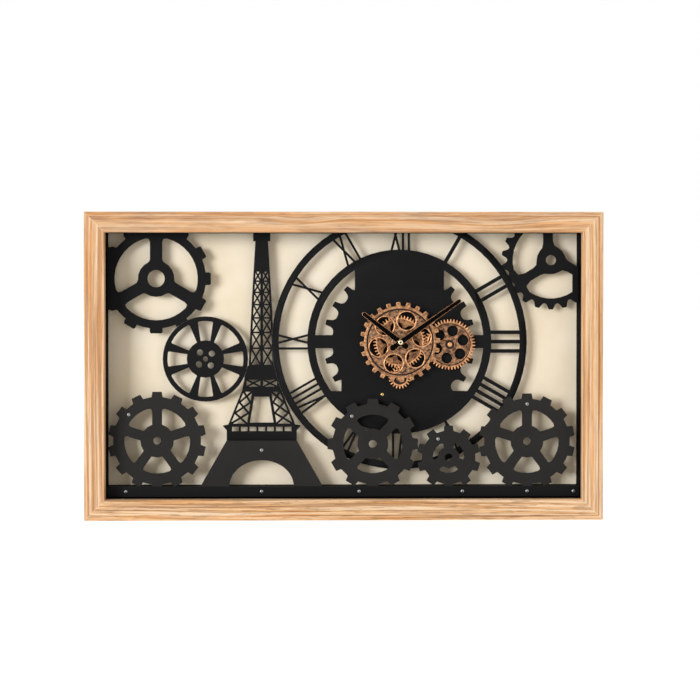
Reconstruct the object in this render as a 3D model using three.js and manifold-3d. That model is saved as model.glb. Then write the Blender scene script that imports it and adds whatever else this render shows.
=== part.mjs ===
// A wide wall clock in a deep fir frame: black cut-out motifs and a skeleton dial in front of a cream
// board, a charcoal front plate on a rail, and a train of copper gears that turns behind the hands.
// Millimetres, +Z up. The front faces -Y. The origin lies on the wall face, in the middle of the
// rear face of the frame's top batten.
import * as THREE from 'three';
import { mergeVertices } from 'three/addons/utils/BufferGeometryUtils.js';
import Module from 'manifold-3d';

const wasm = await Module();
wasm.setup();

// Frame
const overallWidth = 900;
const overallHeight = 535;
const overallDepth = 70;
const boardThickness = 8;
const boardSetback = 2;
const stripWidth = 28;
const stripThickness = 16;
const stripEdge = 1.6;
const rebateWidth = 8;
const mitreGap = 0.2;
const fitGap = 0.3;
const touchGap = 0.02;
const serviceLeft = 79;
const serviceRight = 42;
const serviceBelow = 126;
const serviceAbove = 66;

// Layers, as distances behind the front of the frame
const frontPlateY = 27;
const frontPlateThickness = 5;
const sheetY = 38;
const sheetThickness = 3;
const backboardY = 55;
const backboardThickness = 3;
const studRadius = 3;
const weldDepth = 0.5;

// Dial, cut from the black sheet. Lifts are heights above the rail.
const dialLift = 252.5;
const ringOuterRadius = 224.3;
const ringWidth = 12.1;
const discRadius = 161.9;
const discRimWidth = 13.6;
const toothedTipRadius = 133.7;
const toothedRootRadius = 117.9;
const toothedTeeth = 24;
const armHeight = 23;
const columnWidth = 156.6;
const discScrewLeft = 30;
const discScrewBelow = 92.7;
const lowerWindowDepth = 87;
const numeralStroke = 3.9;
const boldStroke = 6.4;
const numeralV = 12;
const numeralX = 14;
const ringSides = 76;
const discSides = 60;
const windowSides = 52;

// Spoked gear, reel and chainring motifs
const gearFromSide = 85.6;
const gearFromTop = 80;
const gearTipRadius = 96.4;
const gearRootRadius = 87.6;
const gearTeeth = 12;
const gearRimInner = 73;
const gearHubRadius = 31.9;
const gearHoleRadius = 15.2;
const gearSpokeWidth = 21.4;
const gearSideTabHalf = 55;
const gearSideTabDepth = 16;
const gearTopTabHalf = 57;
const gearTopTabDepth = 5.2;
const reelFromTower = 98.8;
const reelLift = 222.2;
const reelRadius = 74.8;
const reelRimInner = 66.7;
const reelHubRadius = 32.7;
const reelHoleRadius = 5.6;
const reelHoleCircle = 14.8;
const reelCentreRadius = 4.6;
const reelSides = 48;
const chainringFromSide = 48.4;
const chainringFromTop = 47.3;
const chainringBite = 9.4;
const chainringTipRadius = 88;
const chainringRootRadius = 76.5;
const chainringTeeth = 22;
const chainringRimInner = 67.6;
const chainringHubRadius = 25;
const chainringHoleRadius = 9.1;
const chainringArmWidth = 17;
const chainringTwist = 7;
const chainringTabTop = 14;
const chainringTabHeight = 50;
const chainringTabDepth = 10;

// Lattice tower. Drops are distances below the top of the frame's opening.
const towerFromRing = 17.7;
const towerCapHalf = 15;
const towerCapDrop = 14.2;
const towerShaftTopHalf = 11.1;
const towerLatticeDrop = 66.3;
const towerLatticeTopHalf = 14.2;
const towerLatticeLift = 210.7;
const towerLatticeBottomHalf = 23;
const towerPlatformHalf = 30.5;
const towerPlatformLift = 186.9;
const towerLegTopLift = 167.6;
const towerLegTopHalf = 34.3;
const towerLegLift = 106.9;
const towerLegBottomHalf = 58.9;
const towerLedgeHalf = 68.4;
const towerFootHalf = 61.5;
const towerFootLift = 96.7;
const towerTabLift = 45.7;
const towerTabHalf = 30;
const towerFootOverlap = 10;
const towerArchTopHalf = 13.2;
const towerArchBottomHalf = 20.8;
const towerArchTopLift = 155.9;
const towerArchLift = 110.2;
const towerSlots = 7;
const towerSlotPitch = 15.4;
const towerSlotWidth = 11.8;
const towerSlotHeight = 7.9;
const latticePanels = 7;
const latticeGrowth = 1.09;
const latticeBar = 2.9;
const chordWidth = 3.8;
const latticePostHalf = 2.4;

// Front plate
const railHeight = 18.3;
const railLift = 1.5;
const railBarDrop = 1;
const baseLift = 79.8;
const baseTopHalf = 61.4;
const baseBottomHalf = 106.7;
const archHalf = 56;
const archRise = 45.6;
const archSteps = 28;
const baseScrewDrop = 16.4;
const baseStepHeight = 3;
const baseStepWidth = 1.6;
const screwHeadRadius = 3.5;
const screwHeadHeight = 1.8;
const screwHeadEdge = 0.7;
const screwShankRadius = 1.6;
const screwHoleGap = 0.2;
const screwLength = 12;
const railScrewFromLeft = 33.3;
const railScrewFromRight = 10.5;
const railScrewStep = 24;
const screwSides = 8;
const postRadius = 4;

// Cogs of the front plate, which stand on the rail. Each sinks a little way into it.
const leftCogTip = 85.8;
const leftCogFromSide = 88;
const middleCogTip = 79.7;
const smallCogTip = 56;
const rightCogTip = 84.1;
const rightCogFromSide = 91.9;
const cogOverlap = 2.6;
const cogSink = 6;
const cogToothHeight = 9;
const cogRimWidth = 19;
const cogHubShare = 0.34;
const cogSpokeWidth = 17;
const cogHoleRadius = 7;
const cogWindowRound = 6;

// Copper gear train
const gearModule = 1.79;
const backGearTeeth = 50;
const rightWheelTeeth = 48;
const pinionTeeth = 20;
const driveTeeth = 12;
const trainY = 29;
const trainThickness = 4.6;
const toothShare = 0.4;
const toothRootDepth = 1.9;
const mainWheelTeeth = 24;
const mainWheelTipRadius = 70;
const mainWheelRootRadius = 63.2;
const mainWheelY = 21;
const mainWheelThickness = 4;
const rimHeight = 0.9;
const rimWidth = 2;
const mainRimWidth = 4.4;
const holeRimWidth = 1.4;
const rimRoot = 0.3;
const rimSetback = 0.5;
const mainHoleRadius = 15.9;
const mainHoleCircle = 38.8;
const mainHoleTurn = 13.3;
const backHoleRadius = 10.8;
const backHoleCircle = 25.1;
const backHoleTurn = 43.5;
const rightHoleRadius = 9.5;
const rightHoleCircle = 24.4;
const rightHoleTurn = 17.8;
const rightWheelAngle = -3;
const pinionAngle = 270;
const driveAngle = 150;
const axleRadius = 2.5;
const axleHeadRadius = 4;
const axleHeadHeight = 1.4;
const axleCollarRadius = 5;
const rivetHeight = 1;
const trainGap = 0.2;
const hubRadius = 15;
const sleeveRadius = 9;
const sleeveGap = 0.1;
const grooveWidth = 1.4;
const grooveDepth = 0.9;
const counterboreRadius = 6.8;
const counterboreDepth = 1.2;
const driveShaftRoom = 1;
const driveShaftReach = 4;

// Keyhole plates that the clock hangs by
const hangerSpacing = 600;
const hangerHalfLength = 21;
const hangerHalfHeight = 7.5;
const hangerThickness = 1.5;
const hangerSink = 0.1;
const hangerPlay = 0.2;
const keyholeRadius = 4;
const keyholeDrop = 1.5;
const keyholeTop = 4.5;
const pocketHalfWidth = 8;
const pocketHalfHeight = 6;
const pocketDepth = 9;

// Clock movement and hands
const movementSize = 56;
const movementThickness = 15;
const caseGap = 0.3;
const bushingFlangeRadius = 7;
const nutRadius = 7.4;
const nutThickness = 2.6;
const clipRadius = 6.4;
const clipThickness = 1;
const threadGap = 0.1;
const bushingRadius = 4;
const bushingFront = 18;
const hourTubeRadius = 2.7;
const arborRadius = 1.5;
const runningGap = 0.15;
const hourHandY = 15;
const minuteHandY = 12.4;
const handThickness = 1.2;
const hourHandLength = 83.4;
const hourHandTail = 16.2;
const hourHandAngle = 142.3;
const minuteHandLength = 128.2;
const minuteHandTail = 21.4;
const minuteHandAngle = 35.1;
const handRootWidth = 10.2;
const handTipWidth = 6.8;
const handTailWidth = 8.8;
const handNeckWidth = 6.6;
const handEyeRadius = 4.9;
const handBoreGap = 0.05;
const arborProud = 2;
const handNutRadius = 4.2;
const handNutHeight = 2.2;
const tubeProud = 0.3;
const cellRadius = 7.1;
const cellLength = 50;
const cellContactRadius = 2.7;
const cellContactHeight = 1.4;
const cellPlay = 0.6;
const knobOffset = 12;
const knobRadius = 6.6;
const knobHeight = 5.5;
const knobStemRadius = 2;
const knobStemDepth = 3;
const motorWidth = 38;
const motorHeight = 42;
const motorGap = 1.2;
const bayWall = 2;
const cellProud = 0.6;
const switchTravel = 4;
const switchWidth = 5;
const switchLength = 7.2;
const switchDepth = 2.6;
const switchTabLength = 2.8;
const switchTabHeight = 1.6;
const discScrewHeadRadius = 2.8;
const discScrewHeadHeight = 1.4;
const discScrewEnd = 1.2;

// Worked out from the sizes above
const halfWidth = overallWidth / 2;
const halfHeight = overallHeight / 2;
const openingHalfWidth = halfWidth - boardThickness - stripWidth;
const openingHalfHeight = halfHeight - boardThickness - stripWidth;
const sheetBack = sheetY + sheetThickness;
const frontPlateBack = frontPlateY + frontPlateThickness;
const backboardBack = backboardY + backboardThickness;
const railBottom = -openingHalfHeight + railLift;
const railTop = railBottom + railHeight;
const wallFaceZ = halfHeight - boardThickness - (stripWidth - rebateWidth) / 2;
const trainBack = trainY + trainThickness;
const chainringX = openingHalfWidth - chainringFromSide;
const chainringZ = openingHalfHeight - chainringFromTop;
const dialZ = railTop + dialLift;
const dialToChainring = ringOuterRadius + chainringTipRadius - chainringBite;
const dialX = chainringX - Math.sqrt(dialToChainring ** 2 - (chainringZ - dialZ) ** 2);
const gearX = -openingHalfWidth + gearFromSide;
const gearZ = openingHalfHeight - gearFromTop;
const towerX = dialX - ringOuterRadius - towerFromRing;
const towerCapBottom = openingHalfHeight - towerCapDrop;
const towerLatticeTop = openingHalfHeight - towerLatticeDrop;
const towerLatticeBottom = railTop + towerLatticeLift;
const towerPlatformBottom = railTop + towerPlatformLift;
const towerLegTop = railTop + towerLegTopLift;
const towerLegBottom = railTop + towerLegLift;
const towerFootTop = railTop + towerFootLift;
const towerTabBottom = railTop + towerTabLift;
const towerArchTop = railTop + towerArchTopLift;
const towerArchBottom = railTop + towerArchLift;
const baseTop = railTop + baseLift;
const reelX = towerX - reelFromTower;
const reelZ = railTop + reelLift;
const hangerXs = [-hangerSpacing / 2, hangerSpacing / 2];
const screwHoleRadius = screwShankRadius + screwHoleGap;
const windowChord = 12;
const degree = Math.PI / 180;

const fir = new THREE.MeshStandardMaterial({ color: '#d9a870', roughness: 0.72, metalness: 0 });
const blackWood = new THREE.MeshStandardMaterial({ color: '#161617', roughness: 0.75, metalness: 0 });
const creamBoard = new THREE.MeshStandardMaterial({ color: '#e9ddc2', roughness: 0.85, metalness: 0 });
const blackSheet = new THREE.MeshStandardMaterial({ color: '#1f1f21', roughness: 0.6, metalness: 0.2 });
const charcoal = new THREE.MeshStandardMaterial({ color: '#2f2f31', roughness: 0.8, metalness: 0.1 });
const copper = new THREE.MeshStandardMaterial({ color: '#b3784c', roughness: 0.45, metalness: 0.7 });
const darkCopper = new THREE.MeshStandardMaterial({ color: '#94603b', roughness: 0.5, metalness: 0.7 });
const steel = new THREE.MeshStandardMaterial({ color: '#b9babc', roughness: 0.3, metalness: 1 });
const brass = new THREE.MeshStandardMaterial({ color: '#c9a560', roughness: 0.3, metalness: 1 });
const blackPlastic = new THREE.MeshStandardMaterial({ color: '#1b1b1c', roughness: 0.55, metalness: 0 });
const handBlack = new THREE.MeshStandardMaterial({ color: '#0d0c0c', roughness: 0.4, metalness: 0.3 });
const cellWrap = new THREE.MeshStandardMaterial({ color: '#5a6470', roughness: 0.35, metalness: 0.4 });

const clock = new THREE.Group();
clock.position.set(0, -overallDepth, -wallFaceZ);

function point(x, z) {
  return new THREE.Vector2(x, z);
}

function polar(radius, angle, x = 0, z = 0) {
  return point(x + radius * Math.cos(angle), z + radius * Math.sin(angle));
}

function signedVolume(position, index) {
  const a = new THREE.Vector3();
  const b = new THREE.Vector3();
  const c = new THREE.Vector3();
  let volume = 0;
  for (let i = 0; i < index.count; i += 3) {
    a.fromBufferAttribute(position, index.getX(i));
    b.fromBufferAttribute(position, index.getX(i + 1));
    c.fromBufferAttribute(position, index.getX(i + 2));
    volume += a.dot(b.cross(c)) / 6;
  }
  return volume;
}

// Turns any closed geometry into a solid whose faces point out.
function solidFrom(geometry) {
  const bare = geometry.clone();
  bare.deleteAttribute('normal');
  bare.deleteAttribute('uv');
  const merged = mergeVertices(bare, 1e-4);
  const triangles = Uint32Array.from(merged.index.array);
  if (signedVolume(merged.attributes.position, merged.index) < 0) {
    for (let i = 0; i < triangles.length; i += 3) {
      [triangles[i + 1], triangles[i + 2]] = [triangles[i + 2], triangles[i + 1]];
    }
  }
  const vertices = Float32Array.from(merged.attributes.position.array);
  return new wasm.Manifold(new wasm.Mesh({ numProp: 3, vertProperties: vertices, triVerts: triangles }));
}

function addPiece(name, solid, material) {
  const result = solid.getMesh();
  const geometry = new THREE.BufferGeometry();
  geometry.setAttribute('position', new THREE.BufferAttribute(Float32Array.from(result.vertProperties), 3));
  geometry.setIndex(new THREE.BufferAttribute(Uint32Array.from(result.triVerts), 1));
  geometry.computeVertexNormals();
  const mesh = new THREE.Mesh(geometry, material);
  mesh.name = name;
  clock.add(mesh);
}

// A flat plate: an outline in X and Z with holes, from its front at y0 to its back at y1.
function plate(outline, y0, y1, holes = []) {
  const shape = new THREE.Shape(outline);
  shape.holes = holes.map((hole) => new THREE.Path(hole));
  const geometry = new THREE.ExtrudeGeometry(shape, { depth: y1 - y0, bevelEnabled: false });
  geometry.rotateX(Math.PI / 2);
  geometry.translate(0, y1, 0);
  return solidFrom(geometry);
}

function block(x0, x1, y0, y1, z0, z1) {
  const geometry = new THREE.BoxGeometry(x1 - x0, y1 - y0, z1 - z0);
  geometry.translate((x0 + x1) / 2, (y0 + y1) / 2, (z0 + z1) / 2);
  return solidFrom(geometry);
}

function arc(radius, from, to, x = 0, z = 0, chord = 9) {
  const count = Math.max(2, Math.ceil(Math.abs(to - from) * radius / chord));
  const points = [];
  for (let i = 0; i <= count; i += 1) {
    points.push(polar(radius, from + (to - from) * i / count, x, z));
  }
  return points;
}

function circle(radius, x, z, sides = 24) {
  const points = [];
  for (let i = 0; i < sides; i += 1) {
    points.push(polar(radius, 2 * Math.PI * i / sides, x, z));
  }
  return points;
}

function disc(radius, x, z, y0, y1, sides = 24) {
  return plate(circle(radius, x, z, sides), y0, y1);
}

// A turned piece on an axis along Y: its profile is a list of radius and depth pairs.
function turned(profile, x, z, sides = 24) {
  const closed = [...profile, profile[0]].map(([radius, depth]) => point(radius, depth));
  const geometry = new THREE.LatheGeometry(closed, sides);
  geometry.translate(x, 0, z);
  return solidFrom(geometry);
}

function roundCorner(before, corner, after, reach) {
  if (reach === 0) {
    return [corner];
  }
  const steps = reach > 5 ? 2 : 1;
  const start = corner.clone().add(before.clone().sub(corner).setLength(reach));
  const end = corner.clone().add(after.clone().sub(corner).setLength(reach));
  return new THREE.QuadraticBezierCurve(start, corner, end).getPoints(steps);
}

// A window between two spokes: its corners lie at two angles on an inner and an outer circle.
function spokeWindow(x, z, inner, outer, innerFrom, innerTo, outerFrom, outerTo, innerRound, outerRound) {
  const outerSlip = outerRound / outer;
  const innerSlip = innerRound / inner;
  const corners = [
    polar(inner, innerFrom, x, z),
    polar(outer, outerFrom, x, z),
    polar(outer, outerTo, x, z),
    polar(inner, innerTo, x, z),
  ];
  const points = [
    ...roundCorner(corners[0], corners[1], polar(outer, outerFrom + outerSlip, x, z), outerRound),
    ...arc(outer, outerFrom + outerSlip, outerTo - outerSlip, x, z, windowChord).slice(1, -1),
    ...roundCorner(polar(outer, outerTo - outerSlip, x, z), corners[2], corners[3], outerRound),
    ...roundCorner(corners[2], corners[3], polar(inner, innerTo - innerSlip, x, z), innerRound),
    ...arc(inner, innerTo - innerSlip, innerFrom + innerSlip, x, z, windowChord).slice(1, -1),
    ...roundCorner(polar(inner, innerFrom + innerSlip, x, z), corners[0], corners[1], innerRound),
  ];
  return points;
}

// Windows of a wheel whose spokes have parallel sides.
function spokedWindows(x, z, inner, outer, spokes, spokeWidth, firstSpoke, innerRound, outerRound, twist = 0) {
  const innerHalf = Math.asin(spokeWidth / 2 / inner);
  const outerHalf = Math.asin(spokeWidth / 2 / outer);
  const windows = [];
  for (let i = 0; i < spokes; i += 1) {
    const from = firstSpoke + 2 * Math.PI * i / spokes;
    const to = from + 2 * Math.PI / spokes;
    windows.push(spokeWindow(x, z, inner, outer, from + innerHalf, to - innerHalf,
      from + outerHalf + twist, to - outerHalf + twist, innerRound, outerRound));
  }
  return windows;
}

// A toothed outline: each tooth is a list of pairs, a share of the pitch and a share of the height.
function toothed(x, z, root, tip, teeth, firstTooth, tooth) {
  const points = [];
  for (let i = 0; i < teeth; i += 1) {
    const middle = firstTooth + 2 * Math.PI * i / teeth;
    for (const [along, height] of tooth) {
      points.push(polar(root + (tip - root) * height, middle + along * 2 * Math.PI / teeth, x, z));
    }
  }
  return points;
}

const bevelledTooth = (rootShare, tipShare) => [
  [-0.5, 0], [-rootShare / 2, 0], [-rootShare / 2.15, 0.68], [-tipShare / 2, 1],
  [tipShare / 2, 1], [rootShare / 2.15, 0.68], [rootShare / 2, 0],
];
const squareTooth = (rootShare, tipShare) => [
  [-rootShare / 2, 0], [-tipShare / 2, 1], [tipShare / 2, 1], [rootShare / 2, 0],
];
const roundValley = [
  [-0.5, 0], [-0.42, 0.04], [-0.34, 0.17], [-0.29, 0.4], [-0.29, 0.62], [-0.24, 0.78], [-0.11, 1],
  [0.11, 1], [0.24, 0.78], [0.29, 0.62], [0.29, 0.4], [0.34, 0.17], [0.42, 0.04],
];
const chainTooth = [
  [-0.5, 0], [-0.34, 0.15], [-0.14, 0.9], [0.14, 0.9], [0.34, 0.15],
];

// Moves each edge of a small polygon inwards by its own distance; empty if nothing is left.
function inset(corners, distances) {
  const area = THREE.ShapeUtils.area(corners);
  const side = Math.sign(area);
  const lines = corners.map((corner, i) => {
    const next = corners[(i + 1) % corners.length];
    const along = next.clone().sub(corner).normalize();
    const normal = point(-along.y * side, along.x * side);
    return { origin: corner.clone().addScaledVector(normal, distances[i]), along };
  });
  const moved = lines.map((line, i) => {
    const previous = lines[(i + lines.length - 1) % lines.length];
    const cross = previous.along.cross(line.along);
    const reach = line.origin.clone().sub(previous.origin).cross(line.along) / cross;
    return previous.origin.clone().addScaledVector(previous.along, reach);
  });
  const keeps = moved.every((corner, i) => {
    const next = moved[(i + 1) % moved.length];
    return next.clone().sub(corner).dot(lines[i].along) > 0.7;
  });
  return keeps ? [moved] : [];
}

// Holes of one braced panel with crossed bars, given its four inner corners.
function crossedPanel(a, b, c, d, bar) {
  const middle = crossing(a, c, b, d);
  const half = bar / 2;
  return [
    ...inset([a, b, middle], [0, half, half]),
    ...inset([b, c, middle], [0, half, half]),
    ...inset([c, d, middle], [0, half, half]),
    ...inset([d, a, middle], [0, half, half]),
  ];
}

function crossing(a, c, b, d) {
  const first = c.clone().sub(a);
  const second = d.clone().sub(b);
  const reach = b.clone().sub(a).cross(second) / first.cross(second);
  return a.clone().addScaledVector(first, reach);
}

// A bar of the frame with mitred ends. Its section lists distances from the outer edge and depths.
function mitredBar(side, section) {
  const horizontal = side === 'top' || side === 'bottom';
  const along = horizontal ? halfWidth : halfHeight;
  const across = horizontal ? halfHeight : halfWidth;
  const shape = new THREE.Shape(section.map(([width, depth]) => point(width, depth)));
  const geometry = new THREE.ExtrudeGeometry(shape, { depth: 1, steps: 1, bevelEnabled: false });
  const position = geometry.attributes.position;
  const sign = side === 'top' || side === 'right' ? 1 : -1;
  for (let i = 0; i < position.count; i += 1) {
    const width = position.getX(i);
    const depth = position.getY(i);
    const end = position.getZ(i) > 0.5 ? 1 : -1;
    const reach = end * (along - width - mitreGap / 2);
    const offset = sign * (across - width);
    if (horizontal) {
      position.setXYZ(i, reach, depth, offset);
    } else {
      position.setXYZ(i, offset, depth, reach);
    }
  }
  return solidFrom(geometry);
}

function hangerRecess(x) {
  const seat = overallDepth - hangerSink - hangerThickness;
  const halfLength = hangerHalfLength + hangerPlay;
  const halfHeight = hangerHalfHeight + hangerPlay;
  const bed = block(x - halfLength, x + halfLength, seat, overallDepth + 1,
    wallFaceZ - halfHeight, wallFaceZ + halfHeight);
  const pocket = block(x - pocketHalfWidth, x + pocketHalfWidth, seat - pocketDepth, seat + 1,
    wallFaceZ - pocketHalfHeight, wallFaceZ + pocketHalfHeight);
  return bed.add(pocket);
}

const sides = ['top', 'bottom', 'left', 'right'];
const faceWidth = boardThickness + stripWidth;

function makeFrame() {
  const board = [
    [0, boardSetback], [boardThickness, boardSetback],
    [boardThickness, overallDepth], [0, overallDepth],
  ];
  const strip = [
    [boardThickness, 0], [faceWidth - stripEdge, 0], [faceWidth, stripEdge],
    [faceWidth, stripThickness], [boardThickness, stripThickness],
  ];
  const batten = [
    [boardThickness, stripThickness], [faceWidth, stripThickness], [faceWidth, backboardY],
    [faceWidth - rebateWidth, backboardY], [faceWidth - rebateWidth, overallDepth],
    [boardThickness, overallDepth],
  ];
  for (const side of sides) {
    addPiece(`side_board_${side}`, mitredBar(side, board), fir);
    addPiece(`face_strip_${side}`, mitredBar(side, strip), fir);
    let bar = mitredBar(side, batten);
    if (side === 'top') {
      for (const x of hangerXs) {
        bar = bar.subtract(hangerRecess(x));
      }
    }
    addPiece(`inner_batten_${side}`, bar, blackWood);
  }
}

// The board lies in the battens' rebate. Its opening gives a hand room to reach the works.

function makeBackboard() {
  const reachX = openingHalfWidth + rebateWidth - fitGap;
  const reachZ = openingHalfHeight + rebateWidth - fitGap;
  const board = block(-reachX, reachX, backboardY, backboardBack, -reachZ, reachZ);
  const cut = block(dialX - serviceLeft, dialX + serviceRight, backboardY - 1, backboardBack + 1,
    dialZ - serviceBelow, dialZ + serviceAbove);
  addPiece('backboard', board.subtract(cut), creamBoard);
}

// The screw's place is an angle on the cog's rim.
const rightCogX = openingHalfWidth - rightCogFromSide;
const smallCogX = rightCogX - rightCogTip - smallCogTip + cogOverlap;
const middleCogX = smallCogX - smallCogTip - middleCogTip + cogOverlap;
const plateCogs = [
  { x: -openingHalfWidth + leftCogFromSide, tip: leftCogTip, teeth: 14, spokes: 5, turn: 90, screwAngle: 137 },
  { x: middleCogX, tip: middleCogTip, teeth: 12, spokes: 4, turn: 45, screwAngle: 127 },
  { x: smallCogX, tip: smallCogTip, teeth: 10, spokes: 3, turn: 90, screwAngle: 120 },
  { x: rightCogX, tip: rightCogTip, teeth: 14, spokes: 5, turn: 90, screwAngle: 90 },
].map((cog) => ({ ...cog, z: railTop + cog.tip - cogSink }));

function cogScrewPlace(cog) {
  return polar(cog.tip - cogToothHeight - cogRimWidth / 2, cog.screwAngle * degree, cog.x, cog.z);
}

// The sheet's motifs stop short of the battens and the rail, and stand on welded studs.
function insideOpening() {
  const reachX = openingHalfWidth - fitGap;
  const reachZ = openingHalfHeight - fitGap;
  return block(-reachX, reachX, sheetY - 1, sheetBack + 1, railTop + fitGap, reachZ);
}

function withStuds(motif, places) {
  let solid = motif;
  for (const [x, z] of places) {
    solid = solid.add(disc(studRadius, x, z, sheetBack - weldDepth, backboardY - fitGap, 6));
  }
  return solid;
}

// Room for the standoffs that pass the sheet on their way to the board.
function clearOfPosts(motif) {
  let solid = motif;
  for (const place of [plateCogs[0], plateCogs[2], plateCogs[3]].map(cogScrewPlace)) {
    solid = solid.subtract(sheetCut(circle(postRadius + fitGap, place.x, place.y, screwSides)));
  }
  return solid;
}

const sheetPlate = (outline, holes = []) => plate(outline, sheetY, sheetBack, holes);
const sheetCut = (outline) => plate(outline, sheetY - 1, sheetBack + 1);

function makeGearMotif() {
  const edge = openingHalfWidth - fitGap;
  const top = openingHalfHeight - fitGap;
  const outline = toothed(gearX, gearZ, gearRootRadius, gearTipRadius, gearTeeth, 0,
    bevelledTooth(0.49, 0.38));
  const leftTab = block(-edge - 1, -edge + gearSideTabDepth, sheetY, sheetBack,
    gearZ - gearSideTabHalf, gearZ + gearSideTabHalf);
  const topTab = block(gearX - gearTopTabHalf, gearX + gearTopTabHalf, sheetY, sheetBack,
    top - gearTopTabDepth, top + 1);
  const windows = spokedWindows(gearX, gearZ, gearHubRadius, gearRimInner, 3, gearSpokeWidth,
    Math.PI / 2, 3, 8);
  let motif = sheetPlate(outline).add(leftTab).add(topTab);
  for (const window of windows) {
    motif = motif.subtract(sheetCut(window));
  }
  motif = motif.subtract(sheetCut(circle(gearHoleRadius, gearX, gearZ, 28)));
  motif = motif.subtract(sheetCut(circle(reelRadius + fitGap, reelX, reelZ, reelSides)));
  motif = motif.subtract(sheetCut(towerOutline(fitGap)));
  const studs = [
    [gearX + (gearHoleRadius + gearHubRadius) / 2, gearZ],
    [-edge + gearSideTabDepth / 2, gearZ - gearSideTabHalf + gearSideTabDepth / 2],
    polar((gearRimInner + gearRootRadius) / 2, 20 * degree, gearX, gearZ).toArray(),
  ];
  addPiece('cutout_gear', withStuds(motif.intersect(insideOpening()), studs), blackSheet);
}

function makeReelMotif() {
  const holes = [circle(reelCentreRadius, reelX, reelZ, 10)];
  const studCircle = (reelHoleCircle + reelHoleRadius + reelHubRadius) / 2;
  for (let i = 0; i < 4; i += 1) {
    const middle = i * Math.PI / 2;
    const diagonal = middle + Math.PI / 4;
    const place = polar(reelHoleCircle, middle + 40 * degree, reelX, reelZ);
    holes.push(circle(reelHoleRadius, place.x, place.y, 12));
    holes.push(spokeWindow(reelX, reelZ, reelHubRadius, reelRimInner, middle - 15 * degree,
      middle + 15 * degree, middle - 11.7 * degree, middle + 11.7 * degree, 0, 1.5));
    holes.push(spokeWindow(reelX, reelZ, reelHubRadius, reelRimInner, diagonal - 18 * degree,
      diagonal + 18 * degree, diagonal - 20 * degree, diagonal + 20 * degree, 0, 2));
  }
  const studs = [
    polar(studCircle, 20 * degree, reelX, reelZ).toArray(),
    polar(studCircle, 200 * degree, reelX, reelZ).toArray(),
  ];
  const reel = sheetPlate(circle(reelRadius, reelX, reelZ, reelSides), holes);
  addPiece('cutout_reel', withStuds(reel, studs), blackSheet);
}

// Half width of the tower's shaft at a height.
function shaftHalf(z) {
  const share = (towerLatticeTop - z) / (towerLatticeTop - towerLatticeBottom);
  return towerLatticeTopHalf + (towerLatticeBottomHalf - towerLatticeTopHalf) * share ** 0.9;
}

function shaftHoles() {
  const height = towerLatticeTop - towerLatticeBottom;
  const first = height * (latticeGrowth - 1) / (latticeGrowth ** latticePanels - 1);
  const holes = [];
  let top = towerLatticeTop;
  for (let i = 0; i < latticePanels; i += 1) {
    const bottom = top - first * latticeGrowth ** i;
    const low = bottom + latticeBar / 2;
    const high = top - latticeBar / 2;
    for (const side of [-1, 1]) {
      const outerHigh = shaftHalf(high) - chordWidth;
      const outerLow = shaftHalf(low) - chordWidth;
      holes.push(...crossedPanel(
        point(towerX + side * latticePostHalf, high), point(towerX + side * outerHigh, high),
        point(towerX + side * outerLow, low), point(towerX + side * latticePostHalf, low), latticeBar));
    }
    top = bottom;
  }
  return holes;
}

// The leg's lattice has no level bars, so diamonds lie between its crossings.
function legHoles(side) {
  const panels = 3;
  const outerBar = 4;
  const innerBar = 5;
  const top = towerLegTop - 3;
  const bottom = towerLegBottom + 1.5;
  const archSlope = (towerArchBottomHalf - towerArchTopHalf) / (towerArchTop - towerArchBottom);
  const outer = [];
  const inner = [];
  for (let i = 0; i <= panels; i += 1) {
    const z = top + (bottom - top) * i / panels;
    const outerShare = (towerLegTop - z) / (towerLegTop - towerLegBottom);
    const outerHalf = towerLegTopHalf + (towerLegBottomHalf - towerLegTopHalf) * outerShare - outerBar;
    const innerHalf = towerArchTopHalf + archSlope * (towerArchTop - z) + innerBar;
    outer.push(point(towerX + side * outerHalf, z));
    inner.push(point(towerX + side * innerHalf, z));
  }
  const half = latticeBar * 0.6;
  const middles = [];
  const holes = [];
  for (let i = 0; i < panels; i += 1) {
    const middle = crossing(outer[i], inner[i + 1], inner[i], outer[i + 1]);
    middles.push(middle);
    holes.push(...inset([outer[i], outer[i + 1], middle], [0, half, half]));
    holes.push(...inset([inner[i], inner[i + 1], middle], [0, half, half]));
  }
  for (let i = 1; i < panels; i += 1) {
    holes.push(...inset([middles[i - 1], outer[i], middles[i], inner[i]], [half, half, half, half]));
  }
  holes.push(...inset([outer[0], inner[0], middles[0]], [0, half, half]));
  holes.push(...inset([outer[panels], inner[panels], middles[panels - 1]], [0, half, half]));
  return holes;
}

// The tower's outline, wider on each side by a gap where a neighbour is cut to clear it.
function towerOutline(gap) {
  const ledgeHeight = 2;
  const platformEdge = 5;
  const half = [
    [towerCapHalf, openingHalfHeight - fitGap], [towerCapHalf, towerCapBottom],
    [towerShaftTopHalf, towerCapBottom], [towerLatticeTopHalf, towerLatticeTop],
  ];
  for (const share of [0.25, 0.5, 0.75, 1]) {
    const z = towerLatticeTop + (towerLatticeBottom - towerLatticeTop) * share;
    half.push([shaftHalf(z), z]);
  }
  half.push(
    [towerPlatformHalf, towerLatticeBottom - platformEdge], [towerPlatformHalf, towerPlatformBottom],
    [towerLegTopHalf, towerLegTop], [towerLegBottomHalf, towerLegBottom],
    [towerLedgeHalf, towerLegBottom - ledgeHeight], [towerFootHalf, towerFootTop],
    [towerFootHalf, baseTop - towerFootOverlap], [towerTabHalf, baseTop - towerFootOverlap],
    [towerTabHalf, towerTabBottom],
  );
  const right = half.map(([width, z]) => point(towerX + width + gap, z));
  const left = half.map(([width, z]) => point(towerX - width - gap, z)).reverse();
  return [...right, ...left];
}

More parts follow.
